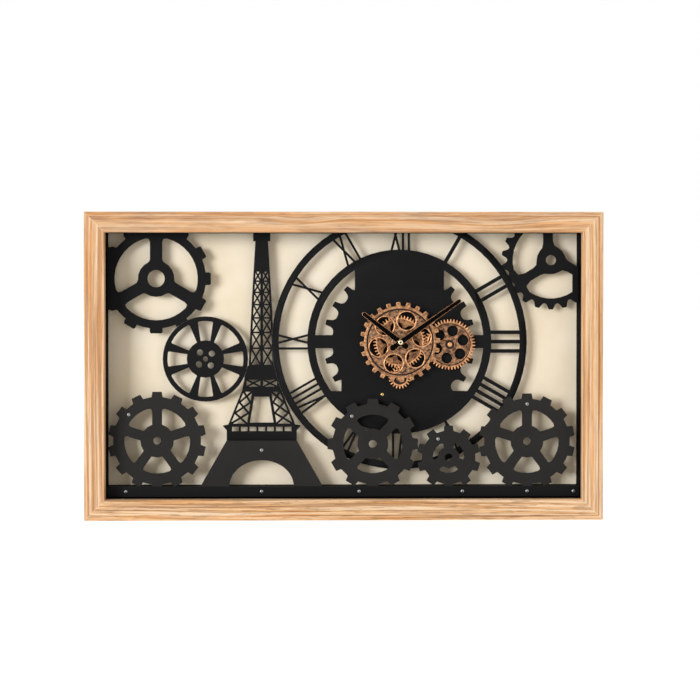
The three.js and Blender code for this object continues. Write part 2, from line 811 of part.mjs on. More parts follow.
function makeTowerMotif() {
  const rowTopBar = 1.2;
  const rowHeight = 12.3;
  const slotDrop = 3.9;
  const holes = [...shaftHoles(), ...legHoles(-1), ...legHoles(1)];
  const rowTop = towerPlatformBottom - rowTopBar;
  const rowBottom = rowTop - rowHeight;
  const rowHalf = towerPlatformHalf - chordWidth;
  for (const side of [-1, 1]) {
    holes.push(...crossedPanel(
      point(towerX + side * latticePostHalf, rowTop), point(towerX + side * rowHalf, rowTop),
      point(towerX + side * rowHalf, rowBottom), point(towerX + side * latticePostHalf, rowBottom), latticeBar));
  }
  holes.push([
    point(towerX - towerArchTopHalf, towerArchTop), point(towerX + towerArchTopHalf, towerArchTop),
    point(towerX + towerArchBottomHalf, towerArchBottom),
    point(towerX - towerArchBottomHalf, towerArchBottom),
  ]);
  const slotTop = towerLegBottom - slotDrop;
  const slotHalf = towerSlotWidth / 2;
  for (let i = 0; i < towerSlots; i += 1) {
    const x = towerX + (i - (towerSlots - 1) / 2) * towerSlotPitch;
    holes.push([
      point(x - slotHalf, slotTop), point(x + slotHalf, slotTop),
      point(x + slotHalf, slotTop - towerSlotHeight), point(x - slotHalf, slotTop - towerSlotHeight),
    ]);
  }
  let motif = sheetPlate(towerOutline(0));
  for (const hole of holes) {
    motif = motif.subtract(sheetCut(hole));
  }
  motif = motif.subtract(sheetCut(circle(reelRadius + fitGap, reelX, reelZ, reelSides)));
  motif = motif.subtract(sheetCut(circle(ringOuterRadius + fitGap, dialX, dialZ, ringSides)));
  const studs = [
    [towerX, (towerCapBottom + towerLatticeTop) / 2 + 9],
    [towerX, (towerLatticeBottom + towerPlatformBottom) / 2],
    [towerX + towerSlotPitch, slotTop - towerSlotHeight - studRadius - 1],
    [towerX - towerSlotPitch, slotTop - towerSlotHeight - studRadius - 1],
  ];
  addPiece('cutout_tower', withStuds(motif, studs), blackSheet);
}

// Numerals stand on the disc's rim with their feet towards the middle. A sign is a letter of the
// numeral, its place along the circle and the width of its strokes.
const numerals = [
  { hour: 1, signs: [['I', 0, boldStroke]] },
  { hour: 2, signs: [['I', -9.3, boldStroke], ['I', 9.3, boldStroke]] },
  { hour: 3, signs: [['I', -16.5, boldStroke], ['I', 0, boldStroke], ['I', 16.5, boldStroke]] },
  {
    hour: 4,
    signs: [['I', -19.4, boldStroke], ['I', -6.5, boldStroke], ['I', 6.5, boldStroke],
      ['I', 19.4, boldStroke]],
  },
  { hour: 5, signs: [['V', 0, numeralStroke]] },
  { hour: 6, signs: [['V', -4.5, numeralStroke], ['I', 10.9, numeralStroke]] },
  { hour: 7, signs: [['V', -12, numeralStroke], ['I', 4, numeralStroke], ['I', 14, numeralStroke]] },
  {
    hour: 8,
    signs: [['V', -17, numeralStroke], ['I', -3, numeralStroke], ['I', 7.2, numeralStroke],
      ['I', 17.4, numeralStroke]],
  },
  { hour: 9, signs: [['I', -11.9, numeralStroke], ['X', 4.7, numeralStroke]] },
  { hour: 10, signs: [['X', 0, numeralStroke]] },
  { hour: 11, signs: [['X', -4.6, numeralStroke], ['I', 13.1, numeralStroke]] },
  { hour: 12, signs: [['X', -7, numeralStroke], ['I', 6.2, numeralStroke], ['I', 16.5, numeralStroke]] },
];

function strokeOutline(angle, fromAlong, toAlong, width) {
  const bite = 2;
  const inner = discRadius - bite;
  const outer = ringOuterRadius - ringWidth + bite;
  const radial = polar(1, angle);
  const clockwise = point(radial.y, -radial.x);
  const foot = radial.clone().multiplyScalar(inner).addScaledVector(clockwise, fromAlong);
  const head = radial.clone().multiplyScalar(outer).addScaledVector(clockwise, toAlong);
  const across = head.clone().sub(foot).normalize();
  const normal = point(-across.y, across.x).multiplyScalar(width / 2);
  const centre = point(dialX, dialZ);
  return [
    foot.clone().add(normal).add(centre), foot.clone().sub(normal).add(centre),
    head.clone().sub(normal).add(centre), head.clone().add(normal).add(centre),
  ];
}

function numeralStrokes() {
  const outlines = [];
  for (const { hour, signs } of numerals) {
    const angle = Math.PI / 2 - hour * Math.PI / 6;
    for (const [sign, along, width] of signs) {
      if (sign === 'I') {
        outlines.push(strokeOutline(angle, along, along, width));
      } else if (sign === 'V') {
        outlines.push(strokeOutline(angle, along, along - numeralV / 2, width));
        outlines.push(strokeOutline(angle, along, along + numeralV / 2, width));
      } else {
        outlines.push(strokeOutline(angle, along - numeralX / 2, along + numeralX / 2, width));
        outlines.push(strokeOutline(angle, along + numeralX / 2, along - numeralX / 2, width));
      }
    }
  }
  return outlines;
}

// The place of a gear that meshes with the back gear, at an angle from it.
function gearPlace(teeth, angle) {
  return polar((backGearTeeth + teeth) / 2 * gearModule, angle * degree, dialX, dialZ);
}

const rightWheelPlace = gearPlace(rightWheelTeeth, rightWheelAngle);
const pinionPlace = gearPlace(pinionTeeth, pinionAngle);
const drivePlace = gearPlace(driveTeeth, driveAngle);
const discScrewPlace = point(dialX - discScrewLeft, dialZ - discScrewBelow);

// The dial is a ring and a disc joined by the numerals. Four windows show the disc's cut teeth.
function makeDial() {
  const rimInner = discRadius - discRimWidth;
  const tooth = toothed(dialX, dialZ, toothedRootRadius, toothedTipRadius, toothedTeeth, 0, roundValley);
  const windows = sheetCut(circle(rimInner, dialX, dialZ, windowSides))
    .subtract(sheetCut(tooth))
    .subtract(block(dialX - discRadius, dialX + discRadius, sheetY - 2, sheetBack + 2,
      dialZ - armHeight / 2, dialZ + armHeight / 2))
    .subtract(block(dialX - columnWidth / 2, dialX + columnWidth / 2, sheetY - 2, sheetBack + 2,
      dialZ, dialZ + discRadius))
    .subtract(block(dialX - discRadius, dialX + discRadius, sheetY - 2, sheetBack + 2,
      dialZ - discRadius, dialZ - lowerWindowDepth));
  const ring = sheetPlate(circle(ringOuterRadius, dialX, dialZ, ringSides),
    [circle(ringOuterRadius - ringWidth, dialX, dialZ, ringSides)]);
  let motif = ring.add(sheetPlate(circle(discRadius, dialX, dialZ, discSides)));
  for (const outline of numeralStrokes()) {
    motif = motif.add(sheetPlate(outline));
  }
  motif = motif.subtract(windows);
  motif = motif.subtract(sheetCut(circle(bushingRadius + runningGap, dialX, dialZ)));
  for (const place of [rightWheelPlace, pinionPlace]) {
    motif = motif.subtract(sheetCut(circle(axleRadius + runningGap, place.x, place.y, 16)));
  }
  motif = motif.subtract(sheetCut(circle(axleRadius + driveShaftRoom, drivePlace.x, drivePlace.y, 16)));
  motif = motif.subtract(sheetCut(circle(screwHoleRadius, discScrewPlace.x, discScrewPlace.y, 12)));
  motif = clearOfPosts(motif.intersect(insideOpening()));
  const ringMiddle = ringOuterRadius - ringWidth / 2;
  const studAngles = [30, 150, 190, 240, 300, 350];
  const studs = studAngles.map((angle) => polar(ringMiddle, angle * degree, dialX, dialZ).toArray());
  addPiece('cutout_dial', withStuds(motif, studs), blackSheet);
}

function makeChainringMotif() {
  const edge = openingHalfWidth - fitGap;
  const outline = toothed(chainringX, chainringZ, chainringRootRadius, chainringTipRadius, chainringTeeth,
    -Math.PI / 2, chainTooth);
  const windows = spokedWindows(chainringX, chainringZ, chainringHubRadius, chainringRimInner, 3,
    chainringArmWidth, 102 * degree, 9, 16, -chainringTwist * degree);
  const tabTop = chainringZ - chainringTabTop;
  const tab = block(edge - chainringTabDepth, edge + 1, sheetY, sheetBack,
    tabTop - chainringTabHeight, tabTop);
  let motif = sheetPlate(outline);
  for (const window of windows) {
    motif = motif.subtract(sheetCut(window));
  }
  motif = motif.add(tab).subtract(sheetCut(circle(chainringHoleRadius, chainringX, chainringZ, 20)));
  motif = motif.subtract(sheetCut(circle(ringOuterRadius + fitGap, dialX, dialZ, ringSides)));
  const studs = [
    [edge - chainringTabDepth / 2, tabTop - chainringTabHeight / 2],
    polar((chainringRimInner + chainringRootRadius) / 2, 150 * degree, chainringX, chainringZ).toArray(),
  ];
  addPiece('cutout_chainring', withStuds(motif.intersect(insideOpening()), studs), blackSheet);
}


const plateShape = (outline) => plate(outline, frontPlateY, frontPlateBack);
const plateCut = (outline) => plate(outline, frontPlateY - 1, frontPlateBack + 1);
const baseScrewPlace = point(towerX, baseTop - baseScrewDrop);
const railScrewXs = [
  -openingHalfWidth + railScrewFromLeft, towerX, middleCogX - railScrewStep, smallCogX + railScrewStep,
  rightCogX, openingHalfWidth - railScrewFromRight,
];
const railScrewZ = (railBottom + railTop) / 2;

function makeFrontPlate() {
  const reach = openingHalfWidth - fitGap;
  let solid = block(-reach, reach, frontPlateY, frontPlateBack, railBottom, railTop);
  const stepHalf = baseBottomHalf - baseStepWidth;
  const stepTop = railTop + baseStepHeight;
  const base = [
    point(towerX - baseTopHalf, baseTop), point(towerX - stepHalf, stepTop),
    point(towerX - baseBottomHalf, railTop - 1), point(towerX + baseBottomHalf, railTop - 1),
    point(towerX + stepHalf, stepTop), point(towerX + baseTopHalf, baseTop),
  ];
  solid = solid.add(plateShape(base));
  for (const cog of plateCogs) {
    const outline = toothed(cog.x, cog.z, cog.tip - cogToothHeight, cog.tip, cog.teeth, Math.PI / 2,
      squareTooth(0.56, 0.42));
    solid = solid.add(plateShape(outline));
  }
  const arch = [];
  for (let i = 0; i <= archSteps; i += 1) {
    const turn = Math.PI * i / archSteps;
    arch.push(point(towerX + archHalf * Math.cos(turn), railTop + archRise * Math.sin(turn)));
  }
  solid = solid.subtract(plateCut(arch));
  for (const cog of plateCogs) {
    const rimInner = cog.tip - cogToothHeight - cogRimWidth;
    const hub = cog.tip * cogHubShare;
    const windows = spokedWindows(cog.x, cog.z, hub, rimInner, cog.spokes, cogSpokeWidth,
      cog.turn * degree, 0, cogWindowRound);
    for (const window of windows) {
      solid = solid.subtract(plateCut(window));
    }
    solid = solid.subtract(plateCut(circle(cogHoleRadius, cog.x, cog.z, 14)));
  }
  const railScrewPlaces = railScrewXs.map((x) => point(x, railScrewZ));
  for (const place of [...plateCogs.map(cogScrewPlace), baseScrewPlace, ...railScrewPlaces]) {
    solid = solid.subtract(plateCut(circle(screwHoleRadius, place.x, place.y, screwSides)));
  }
  const slab = block(-reach, reach, frontPlateY - 1, frontPlateBack + 1, railBottom, openingHalfHeight);
  addPiece('front_plate', solid.intersect(slab), charcoal);
}

// The profile of a screw's low domed head that seats on a face.
function panHead(seat) {
  return [
    [0, seat - screwHeadHeight], [screwHeadRadius * 0.6, seat - screwHeadHeight],
    [screwHeadRadius, seat - screwHeadEdge], [screwHeadRadius, seat],
  ];
}

// A black bar behind the rail takes the rail's screws.
function makeRail() {
  const reach = openingHalfWidth - fitGap;
  const screwEnd = frontPlateBack + screwLength;
  let bar = block(-reach, reach, frontPlateBack, backboardY, -openingHalfHeight, railTop - railBarDrop);
  for (const x of railScrewXs) {
    bar = bar.subtract(disc(screwHoleRadius, x, railScrewZ, frontPlateBack - 1, screwEnd + 1, screwSides));
  }
  addPiece('rail_bar', bar, blackWood);
  railScrewXs.forEach((x, i) => {
    const shank = [[screwShankRadius, frontPlateY], [screwShankRadius, screwEnd - 2], [0, screwEnd]];
    const screw = turned([...panHead(frontPlateY), ...shank], x, railScrewZ, screwSides);
    addPiece(`rail_screw_${i + 1}`, screw, steel);
  });
}

// Standoffs carry the plate's upper part: a post behind it, and a screw head in front.
function makeStandoffs() {
  const towerAndDial = sheetY - touchGap;
  const board = backboardY - touchGap;
  const posts = [
    ['standoff_cog_left', cogScrewPlace(plateCogs[0]), board],
    ['standoff_base', baseScrewPlace, towerAndDial],
    ['standoff_cog_middle', cogScrewPlace(plateCogs[1]), towerAndDial],
    ['standoff_cog_small', cogScrewPlace(plateCogs[2]), board],
    ['standoff_cog_right', cogScrewPlace(plateCogs[3]), board],
  ];
  for (const [name, place, end] of posts) {
    const post = turned([
      ...panHead(frontPlateY), [screwShankRadius, frontPlateY], [screwShankRadius, frontPlateBack],
      [postRadius, frontPlateBack], [postRadius, end], [0, end],
    ], place.x, place.y, screwSides);
    addPiece(name, post, steel);
  }
}

// Train gears: trapezoid teeth, thinner than half the pitch so that they run free.
function trainOutline(teeth, x, z, turn) {
  const pitchRadius = teeth * gearModule / 2;
  const root = pitchRadius - toothRootDepth * gearModule;
  const tip = pitchRadius + gearModule;
  const tooth = [
    [-0.66 * toothShare, 0],
    [-0.25 * toothShare, 1],
    [0.25 * toothShare, 1],
    [0.66 * toothShare, 0],
  ];
  return { outline: toothed(x, z, root, tip, teeth, turn, tooth), root };
}

function roundHoles(x, z, radius, onCircle, turn, sides = 12) {
  const holes = [];
  for (let i = 0; i < 6; i += 1) {
    const place = polar(onCircle, turn * degree + i * Math.PI / 3, x, z);
    holes.push(circle(radius, place.x, place.y, sides));
  }
  return holes;
}

// A raised rim, rooted in the wheel's face.
function raisedRim(x, z, outer, width, face, sides) {
  const opening = circle(outer - width, x, z, sides);
  return plate(circle(outer, x, z, sides), face - rimHeight, face + rimRoot, [opening]);
}

const hubBore = bushingRadius + runningGap;
const backGearBore = sleeveRadius + sleeveGap;

function makeMainWheel() {
  const outline = toothed(dialX, dialZ, mainWheelRootRadius, mainWheelTipRadius, mainWheelTeeth, 2.7 * degree,
    squareTooth(0.52, 0.36));
  const face = mainWheelY + rimHeight;
  const back = mainWheelY + mainWheelThickness;
  let wheel = plate(outline, face, back);
  wheel = wheel.add(raisedRim(dialX, dialZ, mainWheelRootRadius - rimSetback, mainRimWidth, face, 36));
  for (let i = 0; i < 6; i += 1) {
    const place = polar(mainHoleCircle, mainHoleTurn * degree + i * Math.PI / 3, dialX, dialZ);
    wheel = wheel.add(raisedRim(place.x, place.y, mainHoleRadius + holeRimWidth, holeRimWidth, face, 14));
  }
  wheel = wheel.add(disc(hubRadius, dialX, dialZ, mainWheelY, trainY - trainGap, 24));
  wheel = wheel.add(disc(sleeveRadius, dialX, dialZ, trainY - 1, trainBack, 24));
  const grooveOuter = mainWheelRootRadius - rimSetback - mainRimWidth;
  const groove = plate(circle(grooveOuter, dialX, dialZ, 36), face - 1, face + grooveDepth,
    [circle(grooveOuter - grooveWidth, dialX, dialZ, 36)]);
  wheel = wheel.subtract(groove);
  for (const hole of roundHoles(dialX, dialZ, mainHoleRadius, mainHoleCircle, mainHoleTurn, 14)) {
    wheel = wheel.subtract(plate(hole, mainWheelY - 1, back + 1));
  }
  wheel = wheel.subtract(disc(hubBore, dialX, dialZ, mainWheelY - 1, trainBack + 1, 20));
  addPiece('main_wheel', wheel, copper);
}

function makeBackGear() {
  const { outline } = trainOutline(backGearTeeth, dialX, dialZ, 0);
  let gear = plate(outline, trainY, trainBack);
  for (const hole of roundHoles(dialX, dialZ, backHoleRadius, backHoleCircle, backHoleTurn, 10)) {
    gear = gear.subtract(plate(hole, trainY - 1, trainBack + 1));
  }
  gear = gear.subtract(disc(backGearBore, dialX, dialZ, trainY - 1, trainBack + 1, 24));
  addPiece('back_gear', gear, darkCopper);
}

// A gear that meshes with the back gear has a tooth gap where the back gear has a tooth.
function meshTurn(teeth, angle) {
  const contact = angle * degree;
  const share = (contact / (2 * Math.PI / backGearTeeth)) % 1;
  return contact + Math.PI + (share + 0.5) * 2 * Math.PI / teeth;
}

function makeRightWheel() {
  const { x, y: z } = rightWheelPlace;
  const { outline, root } = trainOutline(rightWheelTeeth, x, z, meshTurn(rightWheelTeeth, rightWheelAngle));
  const face = trainY + rimHeight;
  let wheel = plate(outline, face, trainBack);
  wheel = wheel.add(raisedRim(x, z, root - rimSetback, rimWidth, face, 36));
  const grooveOuter = root - rimSetback - rimWidth;
  wheel = wheel.subtract(plate(circle(grooveOuter, x, z, 36), face - 1, face + grooveDepth,
    [circle(grooveOuter - grooveWidth, x, z, 36)]));
  for (const hole of roundHoles(x, z, rightHoleRadius, rightHoleCircle, rightHoleTurn)) {
    wheel = wheel.subtract(plate(hole, trainY - 1, trainBack + 1));
  }
  wheel = wheel.subtract(disc(counterboreRadius, x, z, trainY - 1, face + counterboreDepth, 20));
  wheel = wheel.subtract(disc(axleRadius + runningGap, x, z, trainY - 1, trainBack + 1, 16));
  addPiece('right_wheel', wheel, copper);
}

// An axle riveted in the disc: head, bearing, collar against the disc, rivet behind it.
function makeAxle(name, place) {
  const head = trainY - trainGap - axleHeadHeight;
  const rivet = sheetBack + touchGap;
  const axle = turned([
    [0, head], [axleHeadRadius * 0.7, head], [axleHeadRadius, head + axleHeadHeight / 2],
    [axleHeadRadius, trainY - trainGap], [axleRadius, trainY - trainGap], [axleRadius, trainBack + trainGap],
    [axleCollarRadius, trainBack + trainGap], [axleCollarRadius, sheetY - touchGap],
    [axleRadius, sheetY - touchGap], [axleRadius, rivet],
    [axleHeadRadius, rivet], [axleHeadRadius, rivet + rivetHeight], [0, rivet + rivetHeight],
  ], place.x, place.y, 12);
  addPiece(name, axle, brass);
}

function makePinions() {
  const { x, y: z } = pinionPlace;
  const bottom = trainOutline(pinionTeeth, x, z, meshTurn(pinionTeeth, pinionAngle));
  const bore = disc(axleRadius + runningGap, x, z, trainY - 1, trainBack + 1, 16);
  addPiece('bottom_pinion', plate(bottom.outline, trainY, trainBack).subtract(bore), copper);
  const drive = trainOutline(driveTeeth, drivePlace.x, drivePlace.y, meshTurn(driveTeeth, driveAngle));
  const shaft = disc(axleRadius, drivePlace.x, drivePlace.y, trainBack - 1, sheetBack + driveShaftReach, 16);
  addPiece('drive_pinion', plate(drive.outline, trainY, trainBack).add(shaft), copper);
}

// A hand's edge runs from its round tail over the eye to its cut tip. Both edges are alike.
function handOutline(length, tail, angle) {
  const eye = handEyeRadius * 0.66;
  const round = handTailWidth / 2;
  const roundTail = arc(round, 162 * degree, 90 * degree, round - tail, 0, 3);
  const edge = [
    ...roundTail.map((corner) => [corner.x, corner.y]),
    [-handEyeRadius, handNeckWidth / 2], [-eye, handEyeRadius], [handEyeRadius, handRootWidth / 2],
    [length - handTipWidth / 3, handTipWidth / 2], [length, handTipWidth / 5],
  ];
  const upper = edge.map(([along, across]) => point(along, across));
  const lower = edge.map(([along, across]) => point(along, -across)).reverse();
  return [...upper, ...lower].map((corner) => corner.rotateAround(point(0, 0), angle * degree)
    .add(point(dialX, dialZ)));
}

function makeHands() {
  const hourBore = arborRadius + runningGap;
  const hourOutline = handOutline(hourHandLength, hourHandTail, hourHandAngle);
  const hourHole = circle(hourTubeRadius + handBoreGap, dialX, dialZ, 20);
  addPiece('hour_hand', plate(hourOutline, hourHandY, hourHandY + handThickness, [hourHole]), handBlack);
  const tubeFront = hourHandY - tubeProud;
  const tube = turned([
    [hourBore, tubeFront], [hourTubeRadius, tubeFront], [hourTubeRadius, sheetBack], [hourBore, sheetBack],
  ], dialX, dialZ, 20);
  addPiece('hour_tube', tube, brass);
  const minuteOutline = handOutline(minuteHandLength, minuteHandTail, minuteHandAngle);
  const minuteHole = circle(arborRadius + handBoreGap, dialX, dialZ, 16);
  const minute = plate(minuteOutline, minuteHandY, minuteHandY + handThickness, [minuteHole]);
  addPiece('minute_hand', minute, handBlack);
  const arbor = disc(arborRadius, dialX, dialZ, minuteHandY - arborProud, sheetBack, 16);
  addPiece('minute_arbor', arbor, brass);
  const nutBore = arborRadius + handBoreGap;
  const nutFront = minuteHandY - handNutHeight;
  const nutBack = minuteHandY - touchGap;
  const nut = turned([
    [nutBore, nutFront], [handNutRadius * 0.7, nutFront], [handNutRadius, nutFront + handNutHeight / 3],
    [handNutRadius, nutBack], [nutBore, nutBack],
  ], dialX, dialZ, 14);
  addPiece('hand_nut', nut, brass);
}

// The movement sits behind the disc, held by its threaded bushing and a nut in front of the disc.
function makeMovement() {
  const front = sheetBack + caseGap;
  const back = front + movementThickness;
  const half = movementSize / 2;
  const corner = 5;
  const outline = [
    point(-half + corner, -half), point(half - corner, -half), point(half, -half + corner),
    point(half, half - corner), point(half - corner, half), point(-half + corner, half),
    point(-half, half - corner), point(-half, -half + corner),
  ].map((p) => p.add(point(dialX, dialZ)));
  const bayHalfHeight = cellRadius + cellPlay;
  const bayZ = dialZ - half + bayWall + bayHalfHeight;
  const bayHalf = cellLength / 2 + cellPlay;
  const bay = block(dialX - bayHalf, dialX + bayHalf, back - 2 * cellRadius, back + 1,
    bayZ - bayHalfHeight, bayZ + bayHalfHeight);
  const knobZ = dialZ + knobOffset;
  const stemHole = disc(knobStemRadius + fitGap, dialX, knobZ, back - knobStemDepth - 1, back + 1, 16);
  addPiece('movement_case', plate(outline, front, back).subtract(bay).subtract(stemHole), blackPlastic);
  addPiece('movement_cell', cell(dialX, back - cellRadius + fitGap, bayZ), cellWrap);
  const tubeBore = hourTubeRadius + runningGap;
  const flangeFront = sheetBack + touchGap;
  const bushing = turned([
    [tubeBore, bushingFront], [bushingRadius, bushingFront], [bushingRadius, flangeFront],
    [bushingFlangeRadius, flangeFront], [bushingFlangeRadius, front], [tubeBore, front],
  ], dialX, dialZ, 20);
  addPiece('shaft_bushing', bushing, brass);
  const threadHole = circle(bushingRadius + threadGap, dialX, dialZ);
  const hexagon = circle(nutRadius, dialX, dialZ, 6);
  const nut = plate(hexagon, sheetY - nutThickness, sheetY - touchGap, [threadHole]);
  addPiece('bushing_nut', nut, brass);
  const clipBack = mainWheelY - fitGap;
  const clip = plate(circle(clipRadius, dialX, dialZ), clipBack - clipThickness, clipBack, [threadHole]);
  addPiece('wheel_clip', clip, steel);
  const knobFront = back + fitGap;
  const knobBack = back + knobHeight;
  const knob = turned([
    [0, back - knobStemDepth], [knobStemRadius, back - knobStemDepth], [knobStemRadius, knobFront],
    [knobRadius - 0.6, knobFront], [knobRadius, knobFront + 1.2], [knobRadius, knobBack - 1],
    [knobRadius - 1, knobBack], [0, knobBack],
  ], dialX, knobZ, 14);
  addPiece('set_knob', knob, blackPlastic);
}

// A round cell lying along X, with its raised contact at one end.
function cell(x, y, z) {
  const half = cellLength / 2;
  const geometry = new THREE.LatheGeometry([
    point(0, -half), point(cellRadius, -half), point(cellRadius, half - cellContactHeight),
    point(cellContactRadius, half - cellContactHeight), point(cellContactRadius, half), point(0, half),
  ], 16);
  geometry.rotateZ(-Math.PI / 2);
  geometry.translate(x, y, z);
  return solidFrom(geometry);
}

// The gears' own motor and its two cells, behind the disc as well.
function makeMotor() {
  const front = sheetBack + caseGap;
  const back = front + movementThickness;
  const motorRight = dialX - movementSize / 2 - motorGap;
  let motor = block(motorRight - motorWidth, motorRight, front, back,
    drivePlace.y - motorHeight / 2, drivePlace.y + motorHeight / 2);
  motor = motor.subtract(disc(axleRadius + runningGap, drivePlace.x, drivePlace.y, front - 1,
    sheetBack + driveShaftReach + fitGap, 16));
  addPiece('motor_case', motor, blackPlastic);
  const { x, y: z } = discScrewPlace;
  const pitch = cellRadius + cellPlay / 2;
  const bayHalf = cellLength / 2 + cellPlay;
  const floor = back - 2 * cellRadius + cellProud;
  let box = block(x - bayHalf - bayWall, x + bayHalf + bayWall + switchWidth + bayWall, front, back,
    z - 2 * pitch - bayWall, z + 2 * pitch + bayWall);
  box = box.subtract(block(x - bayHalf, x + bayHalf, floor, back + 1, z - 2 * pitch, z + 2 * pitch));
  const slotX = x + bayHalf + bayWall + switchWidth / 2;
  const slotHalf = switchLength / 2 + switchTravel / 2 + fitGap;
  box = box.subtract(block(slotX - switchWidth / 2, slotX + switchWidth / 2,
    back - switchDepth - fitGap, back + 1, z - slotHalf, z + slotHalf));
  box = box.subtract(disc(screwHoleRadius, x, z, front - 1, floor + 1, 12));
  addPiece('cell_box', box, blackPlastic);
  addPiece('motor_cell_upper', cell(x, floor + cellRadius + fitGap, z + pitch), cellWrap);
  addPiece('motor_cell_lower', cell(x, floor + cellRadius + fitGap, z - pitch), cellWrap);
  const sliderHalf = switchWidth / 2 - fitGap;
  const sliderLow = z - slotHalf + fitGap;
  const sliderMiddle = sliderLow + switchLength / 2;
  const slider = block(slotX - sliderHalf, slotX + sliderHalf, back - switchDepth, back + fitGap,
    sliderLow, sliderLow + switchLength)
    .add(block(slotX - sliderHalf + fitGap, slotX + sliderHalf - fitGap, back, back + switchTabHeight,
      sliderMiddle - switchTabLength / 2, sliderMiddle + switchTabLength / 2));
  addPiece('gear_switch', slider, steel);
  const headFront = sheetY - discScrewHeadHeight;
  const screwBack = sheetBack + discScrewEnd;
  const screw = turned([
    [0, headFront], [screwShankRadius, headFront], [discScrewHeadRadius, sheetY - discScrewHeadHeight / 2],
    [discScrewHeadRadius, sheetY], [screwShankRadius, sheetY], [screwShankRadius, screwBack], [0, screwBack],
  ], x, z, 12);
  addPiece('disc_screw', screw, brass);
}

// Keyhole plates let into the rear of the top batten, each over a pocket for a wall screw's head.
function makeHangers() {
  const back = overallDepth - hangerSink;
  const names = ['hanger_left', 'hanger_right'];
  hangerXs.forEach((x, i) => {
    const keyhole = [
      ...arc(keyholeRadius, 120 * degree, 420 * degree, x, wallFaceZ - keyholeDrop, 2.2),
      point(x + keyholeRadius / 2, wallFaceZ + keyholeTop),
      point(x - keyholeRadius / 2, wallFaceZ + keyholeTop),
    ];
    const outline = [
      point(x - hangerHalfLength, wallFaceZ - hangerHalfHeight),
      point(x + hangerHalfLength, wallFaceZ - hangerHalfHeight),
      point(x + hangerHalfLength, wallFaceZ + hangerHalfHeight),
      point(x - hangerHalfLength, wallFaceZ + hangerHalfHeight),
    ];
    addPiece(names[i], plate(outline, back - hangerThickness, back, [keyhole]), steel);
  });
}

makeFrame();
makeBackboard();
makeGearMotif();
makeReelMotif();
makeTowerMotif();
makeDial();
makeChainringMotif();
makeFrontPlate();
makeRail();
makeStandoffs();
makeMainWheel();
makeBackGear();
makeRightWheel();
makeAxle('wheel_axle', rightWheelPlace);
makeAxle('pinion_axle', pinionPlace);
makePinions();
makeHands();
makeMovement();
makeMotor();
makeHangers();

export default clock;
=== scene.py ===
from math import atan2, cos, pi, radians, sin

import bmesh
import bpy
from mathutils import Matrix, Vector, noise


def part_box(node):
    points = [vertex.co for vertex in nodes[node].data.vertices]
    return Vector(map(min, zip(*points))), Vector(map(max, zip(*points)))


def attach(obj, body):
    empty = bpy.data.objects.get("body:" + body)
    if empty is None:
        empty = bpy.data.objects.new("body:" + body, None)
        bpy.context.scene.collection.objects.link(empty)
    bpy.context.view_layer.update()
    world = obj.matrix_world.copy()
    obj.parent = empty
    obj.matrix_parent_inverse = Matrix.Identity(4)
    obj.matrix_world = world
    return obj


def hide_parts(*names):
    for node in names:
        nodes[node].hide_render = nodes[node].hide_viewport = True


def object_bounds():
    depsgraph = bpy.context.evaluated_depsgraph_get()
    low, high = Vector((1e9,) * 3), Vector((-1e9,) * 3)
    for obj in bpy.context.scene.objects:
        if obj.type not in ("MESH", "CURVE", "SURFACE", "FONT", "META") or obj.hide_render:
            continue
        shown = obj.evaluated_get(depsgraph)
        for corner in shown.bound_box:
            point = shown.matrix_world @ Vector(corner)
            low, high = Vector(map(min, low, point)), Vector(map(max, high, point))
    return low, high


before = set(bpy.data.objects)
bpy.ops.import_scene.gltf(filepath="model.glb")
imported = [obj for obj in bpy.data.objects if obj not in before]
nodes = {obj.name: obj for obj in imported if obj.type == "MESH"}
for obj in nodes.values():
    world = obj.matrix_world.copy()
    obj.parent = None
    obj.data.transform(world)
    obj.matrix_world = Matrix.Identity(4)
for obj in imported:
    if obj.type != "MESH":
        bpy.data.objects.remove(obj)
scene = bpy.context.scene
cadBox = [list(corner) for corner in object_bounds()]
mm = 0.001


# Finishes.
def colour(code, alpha=1.0):
    # a colour as it looks on screen, turned into the linear one that Blender wants
    parts = [int(code[i:i + 2], 16) / 255 for i in (0, 2, 4)]
    return [c / 12.92 if c <= 0.04045 else ((c + 0.055) / 1.055) ** 2.4 for c in parts] + [alpha]


class Signal:
    # one output of a shader node, which can stand in plain arithmetic
    def __init__(self, finish, made, out=0):
        self.finish = finish
        self.made = made
        self.socket = made.outputs[out] if len(made.outputs) else None

    def out(self, name):
        return Signal(self.finish, self.made, name)

    def sums(self, operation, *values):
        return self.finish.sums(operation, *values)

    def __add__(self, other):
        return self.sums("ADD", self, other)

    def __radd__(self, other):
        return self.sums("ADD", other, self)

    def __sub__(self, other):
        return self.sums("SUBTRACT", self, other)

    def __rsub__(self, other):
        return self.sums("SUBTRACT", other, self)

    def __mul__(self, other):
        return self.sums("MULTIPLY", self, other)

    def __rmul__(self, other):
        return self.sums("MULTIPLY", other, self)

    def __truediv__(self, other):
        return self.sums("DIVIDE", self, other)

    def __rtruediv__(self, other):
        return self.sums("DIVIDE", other, self)

    def __pow__(self, other):
        return self.sums("POWER", self, other)


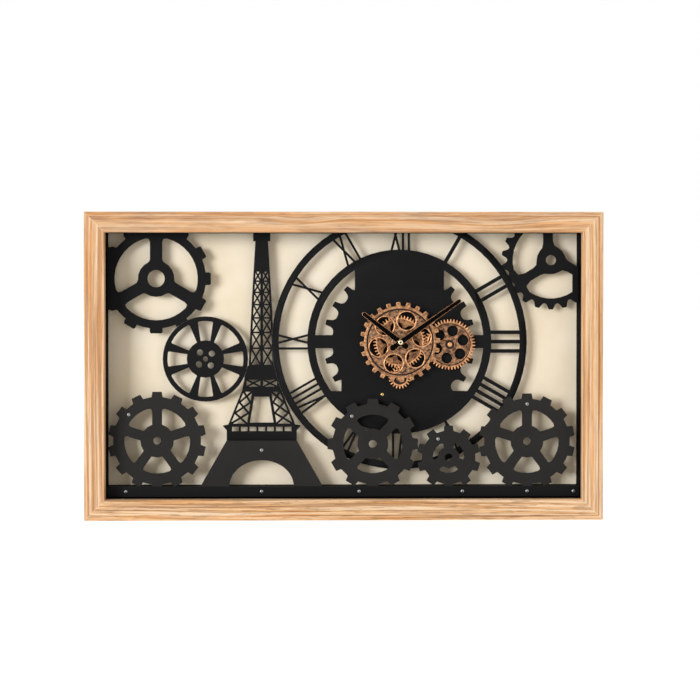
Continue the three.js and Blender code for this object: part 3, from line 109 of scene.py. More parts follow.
class Finish:
    # the nodes of a new material, which surface() closes, or of the world
    def __init__(self, name, world=None):
        self.material = world or bpy.data.materials.new(name)
        self.material.use_nodes = True
        self.tree = self.material.node_tree
        self.tree.nodes.clear()

    def node(self, kind, settings=None, values=None):
        made = self.tree.nodes.new(kind)
        for key, setting in (settings or {}).items():
            if key == "stops":
                ramp = made.color_ramp.elements
                while len(ramp) < len(setting):
                    ramp.new(0.5)
                for stop, (position, shade) in zip(ramp, setting):
                    stop.position = position
                    stop.color = shade
            else:
                setattr(made, key, setting)
        for key, value in (values or {}).items():
            if isinstance(value, Signal):
                self.tree.links.new(value.socket, made.inputs[key])
            else:
                made.inputs[key].default_value = value
        return Signal(self, made)

    def sums(self, operation, *values):
        return self.node("ShaderNodeMath", {"operation": operation}, dict(enumerate(values)))

    def axes(self):
        # the object's own coordinates, one by one
        return self.node("ShaderNodeSeparateXYZ", None, {0: self.node("ShaderNodeTexCoord").out("Object")})

    def place(self, stretch=(1, 1, 1), shift=(0, 0, 0)):
        spot = self.node("ShaderNodeTexCoord").out("Object")
        return self.node("ShaderNodeMapping", None, {"Vector": spot, "Scale": stretch, "Location": shift})

    def cloud(self, vector, scale, detail=2.0, roughness=0.5):
        return self.node("ShaderNodeTexNoise", None,
                         {"Vector": vector, "Scale": scale, "Detail": detail, "Roughness": roughness})

    def ramp(self, value, *stops):
        # a plain number that follows a value through stops of (position, level)
        shades = [(position, (level, level, level, 1)) for position, level in stops]
        return self.node("ShaderNodeValToRGB", {"stops": shades}, {0: value})

    def shades(self, value, *stops):
        tones = [(at, colour(code)) for at, code in stops]
        return self.node("ShaderNodeValToRGB", {"stops": tones}, {0: value})

    def mix(self, share, first, second, blend="MIX"):
        codes = [colour(c) if isinstance(c, str) else c for c in (first, second)]
        made = self.node("ShaderNodeMix", {"data_type": "RGBA", "blend_type": blend},
                         {0: share, 6: codes[0], 7: codes[1]})
        return made.out(2)

    def bump(self, height, distance, strength=1.0):
        sockets = {"Height": height, "Distance": distance, "Strength": strength}
        return self.node("ShaderNodeBump", None, sockets)

    def surface(self, **values):
        names = {"base": "Base Color", "rough": "Roughness", "metal": "Metallic", "normal": "Normal",
                 "specular": "Specular IOR Level", "coat": "Coat Weight", "coatRough": "Coat Roughness"}
        sockets = {names[key]: colour(v) if isinstance(v, str) else v for key, v in values.items()}
        shader = self.node("ShaderNodeBsdfPrincipled", None, sockets)
        self.node("ShaderNodeOutputMaterial", None, {"Surface": shader})
        return self.material


# Brushed fir: the soft early wood is worn down between the harder, darker lines.
firLook = {
    "tan": "eac297", "warm": "e0a972", "honey": "edac68", "pale": "fce4c6", "grey": "b88e70",
    "dark": "855a3e", "lineScale": 280, "drawn": 0.01, "relief": 0.0006, "mitreHighlightWidth": 0.0007,
}


def firFinish(name, along, seed, bar, knots=()):
    look = firLook
    f = Finish(name)
    spot = f.axes()
    length, across = (spot.out("X"), spot.out("Z")) if along == "x" else (spot.out("Z"), spot.out("X"))
    depth = spot.out("Y")
    # grain bends a little along the bar, and flows round its knots
    sway = f.node("ShaderNodeCombineXYZ", None, {0: length * 0.9 + seed, 1: seed, 2: 0.0})
    bend = (f.cloud(sway, 2.2, 1.0, 0.4) - 0.5) * 0.012
    for knotLength, knotAcross, reach in knots:
        far = ((length - knotLength) / reach) ** 2 + ((across - knotAcross) / (reach * 0.2)) ** 2
        bend = bend + 0.006 / (1 + far * far)
    flow = across + bend

    def drawn(share):
        # coordinates pulled out along the bar, so that clouds become streaks
        return f.node("ShaderNodeCombineXYZ", None, {0: length * share + seed, 1: flow, 2: depth})

    ground = f.cloud(drawn(0.04), 130, 3.0, 0.6)
    line = f.cloud(drawn(look["drawn"]), look["lineScale"], 2.0, 0.6)
    thin = f.cloud(drawn(0.012), 800, 2.0, 0.6)
    broken = f.cloud(drawn(0.06), 430, 3.0, 0.62)
    patch = f.cloud(drawn(0.2), 45, 3.0, 0.55)
    gold = f.cloud(drawn(0.03), 170, 2.0, 0.5)
    soft = f.shades(ground, (0.36, look["warm"]), (0.48, bar["tone"]),
                    (0.6, look["tan"]), (0.76, look["pale"]))
    worn = f.mix(f.ramp(patch, (0.46, 0.0), (0.66, bar["patches"])), soft, look["grey"])
    warm = f.mix(f.ramp(gold, (0.54, 0.0), (0.64, bar["gold"])), worn, look["honey"])
    bright = f.mix(f.ramp(line, (0.51, 0.0), (0.59, bar["pales"])), warm, look["pale"])
    lined = f.mix(f.ramp(line, (0.4, bar["lines"]), (0.46, 0.0)), bright, look["dark"])
    dashed = f.mix(f.ramp(broken, (0.55, 0.0), (0.62, bar["dashes"])), lined, look["dark"])
    base = f.mix(f.ramp(thin, (0.38, bar["lines"] * 0.8), (0.46, 0.0)), dashed, look["dark"])
    # painted highlight: a pale line along the mitre where two bars meet
    fromEnd = frameRight * mm - f.sums("ABSOLUTE", spot.out("X"))
    fromEdge = frameHalf * mm - f.sums("ABSOLUTE", spot.out("Z") - frameMiddle * mm)
    mitreHighlight = f.ramp(f.sums("ABSOLUTE", fromEnd - fromEdge) / look["mitreHighlightWidth"], (0.3, 0.75), (1.0, 0.0))
    base = f.mix(mitreHighlight, base, look["pale"])
    base = f.mix(1.0, base, [bar["level"]] * 3 + [1], "MULTIPLY")
    height = line * 0.7 - f.ramp(broken, (0.56, 0.0), (0.66, 0.5)) + thin * 0.5
    return f.surface(base=base, rough=0.55 + 0.2 * thin, specular=0.25,
                     normal=f.bump(height, look["relief"], 0.9))


def paintFinish(name, base, rough, specular, grit, gritDepth, mottled=0.06, grain=None, foot=None):
    # flat paint or powder coat: a fine grit in the gloss and the relief, and slow changes in shade;
    # foot is a height and the colour below it
    f = Finish(name)
    spot = f.place(grain or (1, 1, 1))
    fine = f.cloud(spot, grit, 2.0, 0.6)
    slow = f.cloud(f.place(), 14, 2.0, 0.5)
    dust = f.ramp(f.cloud(spot, grit * 0.37, 3.0, 0.7), (0.6, 0.0), (0.8, 1.0))
    lighter = [min(1.0, c * 1.35 + 0.004) for c in colour(base)[:3]] + [1]
    shade = f.mix(f.ramp(slow, (0.35, 0.0), (0.7, 1.0)) * mottled * 4 + dust * 0.15, base, lighter)
    if foot:
        shade = f.mix(f.sums("LESS_THAN", f.axes().out("Z"), foot[0]), shade, foot[1])
    return f.surface(base=shade, rough=rough - 0.1 + 0.2 * fine, specular=specular,
                     normal=f.bump(fine, gritDepth, 0.6))


def creamFinish(name, paintBack):
    # hardboard: painted warm white in front, with faint roller clouds, and bare and fibrous behind
    f = Finish(name)
    spot = f.place()
    cloud = f.cloud(spot, 7, 3.0, 0.55)
    roller = f.cloud(f.place((1, 1, 0.25)), 900, 2.0, 0.6)
    tint = f.shades(cloud, (0.3, "eee2c9"), (0.5, "f6ecd8"), (0.72, "faf3e3"))
    speck = f.ramp(f.cloud(spot, 420, 2.0, 0.6), (0.66, 0.0), (0.74, 1.0))
    paint = f.mix(speck * 0.16, tint, "cdbf9f")
    fibre = f.cloud(spot, 520, 5.0, 0.72)
    bare = f.shades(fibre * 0.7 + cloud * 0.3, (0.36, "6d4c30"), (0.5, "8a6544"), (0.66, "a68260"))
    behind = f.sums("GREATER_THAN", f.axes().out("Y"), paintBack * mm)
    height = roller * (1 - behind) + fibre * behind
    return f.surface(base=f.mix(behind, paint, bare), rough=0.72 + 0.12 * roller, specular=0.25,
                     normal=f.bump(height, 0.00012, 0.6))


def copperFinish(name, light, middle, dark, patina, rough=0.34, metal=0.85):
    # antiqued copper: rubbed bright in places, with brown left in the hollows; the near-black copy for
    # groove floors and dimples is painted shade
    f = Finish(name)
    spot = f.place()
    blotch = f.cloud(spot, 190, 5.0, 0.68)
    fine = f.cloud(spot, 620, 4.0, 0.7)
    body = f.shades(blotch, (0.36, dark), (0.48, middle), (0.62, light))
    stain = f.ramp(fine, (0.46, 0.0), (0.66, 1.0))
    base = f.mix(stain * patina, body, "3b2318")
    scratch = f.cloud(f.place((1, 1, 14), (0.3, 0.1, 0.2)), 260, 2.0, 0.5)
    return f.surface(base=base, metal=metal, rough=rough + 0.28 * stain + 0.1 * scratch,
                     normal=f.bump(fine * 0.6 + scratch * 0.4, 0.00016, 0.7))


def metalFinish(name, base, shadow, rough, turned=True):
    # plated steel or brass with fine tool marks and a little grime
    f = Finish(name)
    spot = f.place()
    grime = f.ramp(f.cloud(spot, 700, 4.0, 0.65), (0.5, 0.0), (0.72, 1.0))
    marks = f.cloud(f.place((1, 9, 1) if turned else (0.05, 1, 1)), 1600, 2.0, 0.5)
    return f.surface(base=f.mix(grime * 0.5, base, shadow), metal=0.95,
                     rough=rough + 0.18 * marks + 0.2 * grime, normal=f.bump(marks, 0.00005, 0.5))


def cellFinish(name, centre, half):
    # the cell's plain wrap: slate, with an ochre band near one end, between bare steel ends
    f = Finish(name)
    spot = f.axes()
    along = (spot.out("X") - centre) / half
    band = f.sums("GREATER_THAN", along, -0.8) * f.sums("LESS_THAN", along, -0.56)
    bare = f.sums("GREATER_THAN", f.sums("ABSOLUTE", along), 0.93)
    scuff = f.cloud(f.place(), 500, 3.0, 0.6)
    wrap = f.mix(bare, f.mix(band, "4d6270", "c9a24a"), "b4b5b4")
    return f.surface(base=f.mix(f.ramp(scuff, (0.6, 0.0), (0.75, 0.3)), wrap, "8d8d88"),
                     rough=0.3 + 0.2 * scuff, metal=0.15 + 0.75 * bare, normal=f.bump(scuff, 0.00005, 0.4))


finishes = {
    "cream": creamFinish("creamBoard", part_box("backboard")[0].y / mm + 0.1),
    "sheet": paintFinish("blackSheet", "111113", 0.66, 0.1, 1500, 0.00006),
    "charcoal": paintFinish("charcoalPlate", "232323", 0.6, 0.12, 900, 0.00012, 0.1,
                            foot=(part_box("rail_bar")[1].z + mm, "0f0f10")),
    "blackWood": paintFinish("blackWood", "030303", 0.7, 0.03, 700, 0.00015, 0.05, (1, 1, 0.3)),
    "copper": copperFinish("copperFace", "b88c68", "7c5c46", "281a13", 0.6),
    "copperRim": copperFinish("copperRim", "cd9d73", "a77955", "66472f", 0.4, 0.32),
    "copperEdge": copperFinish("copperEdge", "f2ba8b", "dc9f6f", "996747", 0.25, 0.28),
    "darkCopper": copperFinish("darkCopper", "b18259", "7f5a40", "3c281c", 0.45, 0.4),
    # painted shade: near-black copper on the groove floors and the dimples in the teeth, where shade falls
    "grooveShade": copperFinish("copperGrooveShade", "2a1a12", "180e0a", "0c0705", 0.6, 0.6, 0.3),
    "steel": metalFinish("zincSteel", "a0a1a1", "4c4b49", 0.26),
    "plateSteel": metalFinish("plateSteel", "b9babb", "77756f", 0.3, False),
    "brass": metalFinish("brass", "e2c07c", "7c5c2a", 0.24),
    "axleBrass": metalFinish("axleBrass", "dca873", "6b4526", 0.26),
    "paleBrass": metalFinish("paleBrass", "f1e6c4", "8f7c4c", 0.2),
    "plastic": paintFinish("blackPlastic", "131314", 0.45, 0.45, 1300, 0.00008, 0.04),
    "hand": paintFinish("handBlack", "020202", 0.5, 0.03, 1200, 0.00004, 0.02),
    # painted shade: dark grey matte for the screws' cross recesses and the minute arbor's end, where shade
    # falls
    "recess": paintFinish("screwRecessShade", "2a2927", 0.7, 0.3, 1500, 0.00004, 0.1),
}
cellNodes = {
    "movement_cell": "movementCell", "motor_cell_upper": "motorCellUpper",
    "motor_cell_lower": "motorCellLower",
}
for node, name in cellNodes.items():
    low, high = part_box(node)
    finishes[name] = cellFinish(name, (low.x + high.x) / 2, (high.x - low.x) / 2)
print("finishes made")


# Mesh tools, in millimetres from the wall face.
lap = 0.02  # how far stacked layers run into each other


def spanOf(node):
    low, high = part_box(node)
    return low / mm, high / mm


def middleOf(node):
    low, high = spanOf(node)
    return (low + high) / 2


def ringOf(radius, x=0.0, z=0.0, steps=64, turn=0.0):
    return [(x + radius * cos(turn + 2 * pi * i / steps), z + radius * sin(turn + 2 * pi * i / steps))
            for i in range(steps)]


def area(points):
    return sum(a[0] * b[1] - b[0] * a[1] for a, b in zip(points, points[1:] + points[:1])) / 2


def cutPlate(outline, front, back, holes=(), edge=0.0, smooth=2, flatLook=0, edgeLook=1):
    # a plate lying in the XZ plane with rounded edges, which have their own look
    curve = bpy.data.curves.new("cut", "CURVE")
    curve.dimensions = "2D"
    curve.fill_mode = "BOTH"
    curve.extrude = (back - front) / 2 - edge
    curve.bevel_depth = edge
    curve.bevel_resolution = smooth
    curve.offset = -edge
    for i, points in enumerate([outline, *holes]):
        if (area(points) > 0) == (i > 0):
            points = points[::-1]
        spline = curve.splines.new("POLY")
        spline.points.add(len(points) - 1)
        for corner, (x, z) in zip(spline.points, points):
            corner.co = (x, z, 0, 1)
        spline.use_cyclic_u = True
    holder = bpy.data.objects.new("cut", curve)
    mesh = bpy.data.meshes.new_from_object(holder)
    bpy.data.objects.remove(holder)
    bm = bmesh.new()
    bm.from_mesh(mesh)
    bmesh.ops.remove_doubles(bm, verts=bm.verts, dist=1e-4)
    bmesh.ops.rotate(bm, verts=bm.verts, cent=(0, 0, 0), matrix=Matrix.Rotation(pi / 2, 3, "X"))
    bmesh.ops.translate(bm, verts=bm.verts, vec=(0, (front + back) / 2, 0))
    bmesh.ops.recalc_face_normals(bm, faces=bm.faces)
    for face in bm.faces:
        flat = abs(face.normal.y) > 0.98
        face.material_index = flatLook if flat else edgeLook
    return bm


def turnedPart(profile, x, z, steps=48, material=0):
    # a body turned about the Y axis at (x, z); the profile is a list of (radius, y)
    bm = bmesh.new()
    corners = [bm.verts.new((radius, y, 0)) for radius, y in profile]
    lines = [bm.edges.new(pair) for pair in zip(corners, corners[1:])]
    bmesh.ops.spin(bm, geom=corners + lines, cent=(0, 0, 0), axis=(0, 1, 0), angle=2 * pi, steps=steps)
    bmesh.ops.remove_doubles(bm, verts=bm.verts, dist=1e-5)
    bmesh.ops.translate(bm, verts=bm.verts, vec=(x, 0, z))
    bmesh.ops.recalc_face_normals(bm, faces=bm.faces)
    for face in bm.faces:
        face.material_index = material
    return bm


def joined(*parts):
    whole = bpy.data.meshes.new("whole")
    total = bmesh.new()
    for bm in parts:
        bm.to_mesh(whole)
        total.from_mesh(whole)
        bm.free()
    bpy.data.meshes.remove(whole)
    return total


def carved(body, cutter, bodyLook, cutLook):
    # the first mesh less the second; what the cut lays bare has its own look
    made = []
    for i, bm in enumerate((body, cutter)):
        bmesh.ops.recalc_face_normals(bm, faces=bm.faces)
        for f in bm.faces:
            f.material_index = i
        mesh = bpy.data.meshes.new("carved")
        bm.to_mesh(mesh)
        bm.free()
        for look in (bodyLook, cutLook):
            mesh.materials.append(finishes[look])
        made.append(bpy.data.objects.new("carved", mesh))
        scene.collection.objects.link(made[-1])
    cut = made[0].modifiers.new("cut", "BOOLEAN")
    cut.operation = "DIFFERENCE"
    cut.solver = "EXACT"
    cut.object = made[1]
    cut.use_self = True
    bpy.context.view_layer.update()
    mesh = bpy.data.meshes.new_from_object(made[0].evaluated_get(bpy.context.evaluated_depsgraph_get()))
    for piece in made:
        bpy.data.objects.remove(piece)
    bm = bmesh.new()
    bm.from_mesh(mesh)
    return bm


def addPiece(name, bm, looks, body, replaced=(), sharp=35):
    bmesh.ops.scale(bm, verts=bm.verts, vec=(mm, mm, mm))
    mesh = bpy.data.meshes.new(name)
    bm.to_mesh(mesh)
    bm.free()
    mesh.shade_smooth()
    mesh.set_sharp_from_angle(angle=radians(sharp))
    for look in looks if isinstance(looks, list) else [looks]:
        mesh.materials.append(finishes[look] if isinstance(look, str) else look)
    piece = bpy.data.objects.new(name, mesh)
    scene.collection.objects.link(piece)
    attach(piece, body)
    if replaced:
        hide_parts(*replaced)


def dress(node, look):
    # gives all material slots of a CAD node one finish
    for slot in nodes[node].material_slots:
        slot.material = finishes[look]


# Frame of fir bars with mitred corners.
frameBars = {
    "stripWidth": 28, "boardThickness": 8, "boardFront": 2, "depth": 69.98, "stripDepth": 16,
    "round": 1.5, "boardRound": 1.0, "cornerSteps": 4, "gap": 0.04, "stations": 90, "waviness": 0.22,
    "waveAlong": 0.012, "waveAcross": 0.05, "boardSeed": 2.3,
    "seeds": {"top": 0.31, "bottom": 4.7, "left": 9.2, "right": 13.9},
    "bars": {
        "top": {"tone": "e4b283", "patches": 0.75, "gold": 0.6, "pales": 0.45,
                "lines": 0.34, "dashes": 0.24, "level": 0.94},
        "bottom": {"tone": "f3c793", "patches": 0.2, "gold": 0.5, "pales": 0.85,
                   "lines": 0.52, "dashes": 0.46, "level": 1.0},
        "left": {"tone": "e7b78c", "patches": 0.2, "gold": 0.4, "pales": 0.8,
                 "lines": 0.4, "dashes": 0.12, "level": 0.96},
        "right": {"tone": "efc296", "patches": 0.2, "gold": 0.45, "pales": 0.6,
                  "lines": 0.3, "dashes": 0.14, "level": 0.98},
    },
    "knots": {"top": [(-0.075, 0.003, 0.05), (0.265, 0.003, 0.06)]},
}
topHigh = spanOf("side_board_top")[1]
frameRight, frameTop = topHigh.x, topHigh.z
frameBottom = spanOf("side_board_bottom")[0].z
frameFront = spanOf("face_strip_top")[0].y
sides = {
    "top": ("x", frameTop, -1), "bottom": ("x", frameBottom, 1),
    "left": ("z", -frameRight, 1), "right": ("z", frameRight, -1),
}
frameMiddle = (frameTop + frameBottom) / 2
frameHalf = (frameTop - frameBottom) / 2


def mitredBar(side, inner, outer, front, back, rounded, paintedInside=False):
    # section corners as (distance in from the frame's edge, depth), rounded, swept along the side
    along, edge, inward = sides[side]
    section = []
    corners = [(outer, front, 1, 1), (inner, front, -1, 1), (inner, back, -1, -1), (outer, back, 1, -1)]
    for d, y, stepD, stepY in corners:
        start = atan2(-stepY, -stepD)
        turn = 1 if stepD * stepY > 0 else -1
        centre = (d + stepD * rounded, y + stepY * rounded)
        for i in range(frameBars["cornerSteps"] + 1):
            angle = start - turn * pi / 4 + turn * i / frameBars["cornerSteps"] * pi / 2
            section.append((centre[0] + rounded * cos(angle), centre[1] + rounded * sin(angle)))
    # more points on the front face let the edges wander a little, as sanded wood does
    bm = bmesh.new()
    rows = []
    halfLength = frameRight if along == "x" else frameHalf
    steps = frameBars["stations"]
    for i in range(steps + 1):
        row = []
        for d, y in section:
            reach = halfLength - d - frameBars["gap"]
            t = -reach + 2 * reach * i / steps
            fine = frameBars["waveAcross"]
            place = Vector((t * frameBars["waveAlong"], d * fine, y * fine + len(side)))
            wave = noise.noise(place) * 0.5 + 0.5
            depth = y + (frameBars["waviness"] * wave if y < front + rounded else 0)
            across = edge + inward * d
            row.append(bm.verts.new((t, depth + frameFront, across) if along == "x"
                                    else (across, depth + frameFront, t + frameMiddle)))
        rows.append(row)
    count = len(section)
    for a, b in zip(rows, rows[1:]):
        for i in range(count):
            bm.faces.new((a[i], a[(i + 1) % count], b[(i + 1) % count], b[i]))
    bm.faces.new(rows[0])
    bm.faces.new(rows[-1][::-1])
    bmesh.ops.recalc_face_normals(bm, faces=bm.faces)
    opening = edge + inward * inner
    for face in bm.faces:
        middle = face.calc_center_median()
        if paintedInside and abs((middle.z if along == "x" else middle.x) - opening) < 0.05:
            face.material_index = 1
    return bm


board = frameBars["boardThickness"]
for side, (along, edge, inward) in sides.items():
    knots = frameBars["knots"].get(side, [])
    bar = frameBars["bars"][side]
    wood = firFinish("fir_" + side, along, frameBars["seeds"][side], bar, knots)
    boardSeed = frameBars["seeds"][side] + frameBars["boardSeed"]
    boardWood = firFinish("firBoard_" + side, along, boardSeed, bar)
    strip = mitredBar(side, board + frameBars["stripWidth"], board, 0, frameBars["stripDepth"],
                      frameBars["round"], True)
    addPiece("faceStrip_" + side, strip, [wood, "blackWood"], "housing", ["face_strip_" + side], 50)
    outerBoard = mitredBar(side, board, 0, frameBars["boardFront"], frameBars["depth"],
                           frameBars["boardRound"])
    addPiece("sideBoard_" + side, outerBoard, boardWood, "housing", ["side_board_" + side], 50)
    dress("inner_batten_" + side, "blackWood")
print("frame made")


# Copper train.
train = {
    "module": 1.79, "toothShare": 0.45, "rootDepth": 1.9, "rimWidth": 2.0, "rimSetback": 0.5,
    "rimHeight": 0.9, "beadHeight": 0.85, "grooveDepth": 0.9, "edge": 0.28, "faceEdge": 0.22,
    "fineEdge": 0.2, "boreRadius": 2.7, "front": 29, "sheetFront": 37.98,
    "main": {"teeth": 24, "tip": 70, "root": 63.2, "firstTooth": 2.7, "hole": 15.9, "circle": 38.8,
             "turn": 13.3, "rimWidth": 4.0, "holeRim": 1.8, "dimple": 1.0, "grooveWidth": 3.0, "depth": 4,
             "bore": 8, "hub": 15, "sleeve": 9, "hubBack": 28.7},
    "back": {"teeth": 50, "hole": 10.8, "circle": 25.1, "turn": 43.5, "web": 1.1, "bore": 9.1,
             "rimWidth": 1.6, "hub": 14.2},
    "right": {"teeth": 48, "hole": 9.8, "circle": 24.4, "turn": 17.8, "angle": -3, "counterbore": 8.2,
              "grooveWidth": 1.7},
    "bottom": {"teeth": 20, "angle": 270}, "drive": {"teeth": 12, "angle": 150},
    "pinion": {"depth": 4.6, "step": 0.9, "rimWidth": 2.2, "hub": 6.4, "shaft": 2.5},
    "axle": {"head": 4.1, "radius": 2.5, "collar": 5, "collarFront": 4.8, "rivet": 4},
}


def toothedRing(x, z, root, tip, teeth, turn, tooth):
    points = []
    for i in range(teeth):
        for along, height in tooth:
            angle = turn + 2 * pi * (i + along) / teeth
            radius = root + (tip - root) * height
            points.append((x + radius * cos(angle), z + radius * sin(angle)))
    return points


def trainRing(teeth, x, z, turn):
    root = (teeth / 2 - train["rootDepth"]) * train["module"]
    tip = (teeth / 2 + 1) * train["module"]
    share = train["toothShare"]
    flank = [(-0.66, 0), (-0.56, 0.2), (-0.4, 0.66), (-0.27, 0.96), (-0.2, 1)]
    tooth = [(a * share, h) for a, h in flank] + [(-a * share, h) for a, h in flank[::-1]]
    return toothedRing(x, z, root, tip, teeth, turn, tooth), root


def meshTurn(teeth, degrees):
    # where a wheel that meets the back gear needs its first tooth
    contact = radians(degrees)
    share = (contact / (2 * pi / train["back"]["teeth"])) % 1
    if contact < 0:
        share -= 1
    return contact + pi + (share + 0.5) * 2 * pi / teeth


def sixRound(x, z, radius, circle, turn, steps=40):
    return [ringOf(radius, x + circle * cos(radians(turn) + i * pi / 3),
                   z + circle * sin(radians(turn) + i * pi / 3), steps) for i in range(6)]


def beadRing(outer, width, face, height, x, z, steps=72, look=1):
    # a raised rim with a rounded top
    profile = [(outer, face + 0.2)]
    for i in range(7):
        a = pi * i / 6
        profile.append((outer - width / 2 + width / 2 * cos(a), face - height * sin(a) ** 0.6))
    profile.append((outer - width, face + 0.2))
    return turnedPart(profile, x, z, steps, look)


dialCentre = middleOf("main_wheel")
dialX, dialZ = dialCentre.x, dialCentre.z
bevel, faceBevel, fineBevel = train["edge"], train["faceEdge"], train["fineEdge"]

main = train["main"]
low, high = spanOf("main_wheel")
wheelFront, sleeveBack = low.y, high.y
face = wheelFront + train["rimHeight"]
floor = face + train["grooveDepth"]
squareTooth = [(-0.26, 0), (-0.245, 0.12), (-0.212, 0.55), (-0.186, 0.9), (-0.168, 1),
               (0.168, 1), (0.186, 0.9), (0.212, 0.55), (0.245, 0.12), (0.26, 0)]
outline = toothedRing(dialX, dialZ, main["root"], main["tip"] - lap, main["teeth"],
                      radians(main["firstTooth"]), squareTooth)
holes = sixRound(dialX, dialZ, main["hole"], main["circle"], main["turn"])
bore = ringOf(main["bore"], dialX, dialZ, 40)
rimOuter = main["root"] - train["rimSetback"]
grooveOuter = rimOuter - main["rimWidth"]
dimpleCircle = (main["root"] + main["tip"]) / 2
toothAngles = [radians(main["firstTooth"]) + 2 * pi * i / main["teeth"] for i in range(main["teeth"])]
dimples = [ringOf(main["dimple"], dialX + dimpleCircle * cos(a), dialZ + dimpleCircle * sin(a), 10)
           for a in toothAngles]
grooveEdge = ringOf(grooveOuter, dialX, dialZ, 96)
wheelParts = [
    cutPlate(outline, floor, wheelFront + main["depth"], [*holes, bore], bevel, 2, 2, 0),
    cutPlate(outline, face, floor + lap, [grooveEdge, *dimples], faceBevel, 2, 3),
    cutPlate(ringOf(grooveOuter - main["grooveWidth"], dialX, dialZ, 96), face, floor + lap,
             [*holes, bore], fineBevel),
    beadRing(rimOuter, main["rimWidth"], face, train["beadHeight"], dialX, dialZ, 96, 3),
]
for i in range(6):
    a = radians(main["turn"]) + i * pi / 3
    x, z = dialX + main["circle"] * cos(a), dialZ + main["circle"] * sin(a)
    outer = main["hole"] + main["holeRim"]
    wheelParts.append(beadRing(outer, main["holeRim"], face, train["beadHeight"], x, z, 48))
hub, hubBack, sleeve = main["hub"], main["hubBack"] + frameFront, main["sleeve"]
wheelParts.append(turnedPart([
    (4.2, wheelFront), (hub - 2.4, wheelFront), (hub - 1.4, wheelFront + 0.4), (hub, face), (hub, hubBack),
    (sleeve, hubBack), (sleeve, sleeveBack), (4.2, sleeveBack), (4.2, wheelFront)], dialX, dialZ, 48))
# the third look is the painted shade on the floor plates' flat faces, seen in the grooves and dimples
copperLooks = ["copper", "copperEdge", "grooveShade", "copperRim"]
addPiece("mainWheel", joined(*wheelParts), copperLooks, "main_wheel_set", ["main_wheel"])

back = train["back"]
low, high = spanOf("back_gear")
outline, root = trainRing(back["teeth"], dialX, dialZ, 0)
holes = sixRound(dialX, dialZ, back["hole"], back["circle"], back["turn"], 32)
bore = ringOf(back["bore"], dialX, dialZ, 40)
web = low.y + back["web"]
addPiece("backGear", joined(
    cutPlate(outline, web, high.y, [*holes, bore], fineBevel),
    cutPlate(outline, low.y, web + lap, [ringOf(root - back["rimWidth"], dialX, dialZ, 96)], bevel, 2, 1, 1),
    cutPlate(ringOf(back["hub"], dialX, dialZ, 48), low.y, web + lap, [bore], bevel),
), ["darkCopper", "copperEdge"], "main_wheel_set", ["back_gear"])

right = train["right"]
low, high = spanOf("right_wheel")
x, z = middleOf("right_wheel").x, middleOf("right_wheel").z
outline, root = trainRing(right["teeth"], x, z, meshTurn(right["teeth"], right["angle"]))
face = low.y + train["rimHeight"]
floor = face + train["grooveDepth"]
rimOuter = root - train["rimSetback"]
grooveOuter = rimOuter - train["rimWidth"]
holes = sixRound(x, z, right["hole"], right["circle"], right["turn"], 36)
bore = ringOf(train["boreRadius"], x, z, 28)
wheelParts = [
    cutPlate(outline, floor, high.y, [*holes, bore], fineBevel, 2, 2, 0),
    cutPlate(outline, face, floor + lap, [ringOf(grooveOuter, x, z, 96)], faceBevel, 2, 1),
    cutPlate(ringOf(grooveOuter - right["grooveWidth"], x, z, 96), face, floor + lap,
             [*holes, ringOf(right["counterbore"], x, z, 36)], fineBevel),
    beadRing(rimOuter, train["rimWidth"], face, train["beadHeight"], x, z, 96, 3),
]
addPiece("rightWheel", joined(*wheelParts), copperLooks, "right_wheel_set", ["right_wheel"])

pinion = train["pinion"]
for name in ("bottom", "drive"):
    spec = train[name]
    node = name + "_pinion"
    low, high = spanOf(node)
    x, z = middleOf(node).x, middleOf(node).z
    outline, root = trainRing(spec["teeth"], x, z, meshTurn(spec["teeth"], spec["angle"]))
    front, rear = low.y, low.y + pinion["depth"]
    step = front + pinion["step"]
    if name == "bottom":
        bore = ringOf(train["boreRadius"], x, z, 28)
        inner = ringOf(root - pinion["rimWidth"], x, z, 48)
        parts = [cutPlate(outline, step, rear, [bore], fineBevel, 2, 2, 0),
                 cutPlate(outline, front, step + lap, [inner], bevel, 2, 1, 1),
                 cutPlate(ringOf(pinion["hub"], x, z, 36), front, step + lap, [bore], bevel)]
    else:
        shaft = pinion["shaft"]
        parts = [cutPlate(outline, front, rear, [], bevel),
                 turnedPart([(0, rear - 0.1), (shaft, rear - 0.1), (shaft, high.y - 0.4),
                             (shaft - 0.4, high.y), (0, high.y)], x, z, 32, 1)]
    addPiece(name + "Pinion", joined(*parts), copperLooks, node + "_set", [node])

axle = train["axle"]
head, shaft, collar, rivet = axle["head"], axle["radius"], axle["collar"], axle["rivet"]
headBack = frameFront + train["front"] - 0.2
collarFront = frameFront + train["front"] + axle["collarFront"]
sheetFront = frameFront + train["sheetFront"]
for name in ("wheel_axle", "pinion_axle"):
    low, high = spanOf(name)
    x, z = middleOf(name).x, middleOf(name).z
    profile = [(0, low.y + 0.75), (1.2, low.y + 0.7), (1.6, low.y), (head - 1, low.y + 0.1),
               (head - 0.3, low.y + 0.5), (head, low.y + 1.0), (head, headBack), (shaft, headBack),
               (shaft, collarFront), (collar, collarFront), (collar, sheetFront), (shaft, sheetFront),
               (shaft, high.y - 1), (rivet, high.y - 1), (rivet - 0.2, high.y - 0.4), (rivet - 1.4, high.y),
               (0, high.y)]
    addPiece(name.replace("_a", "A"), turnedPart(profile, x, z, 40), "axleBrass", "housing", [name])
print("copper train made")


# Hands, arbor and nut.
hands = {
    "hour": {"length": 83.4, "tail": 16.8, "angle": 142.3, "hole": 2.75},
    "minute": {"length": 128.2, "tail": 22.4, "angle": 35.1, "hole": 1.55},
    "root": 10.2, "tip": 6.8, "tailWidth": 11.8, "neck": 9.0, "eye": 4.9, "edge": 0.4,
    "nutBore": 1.6, "nutRadius": 4.2, "arbor": 1.5,
}


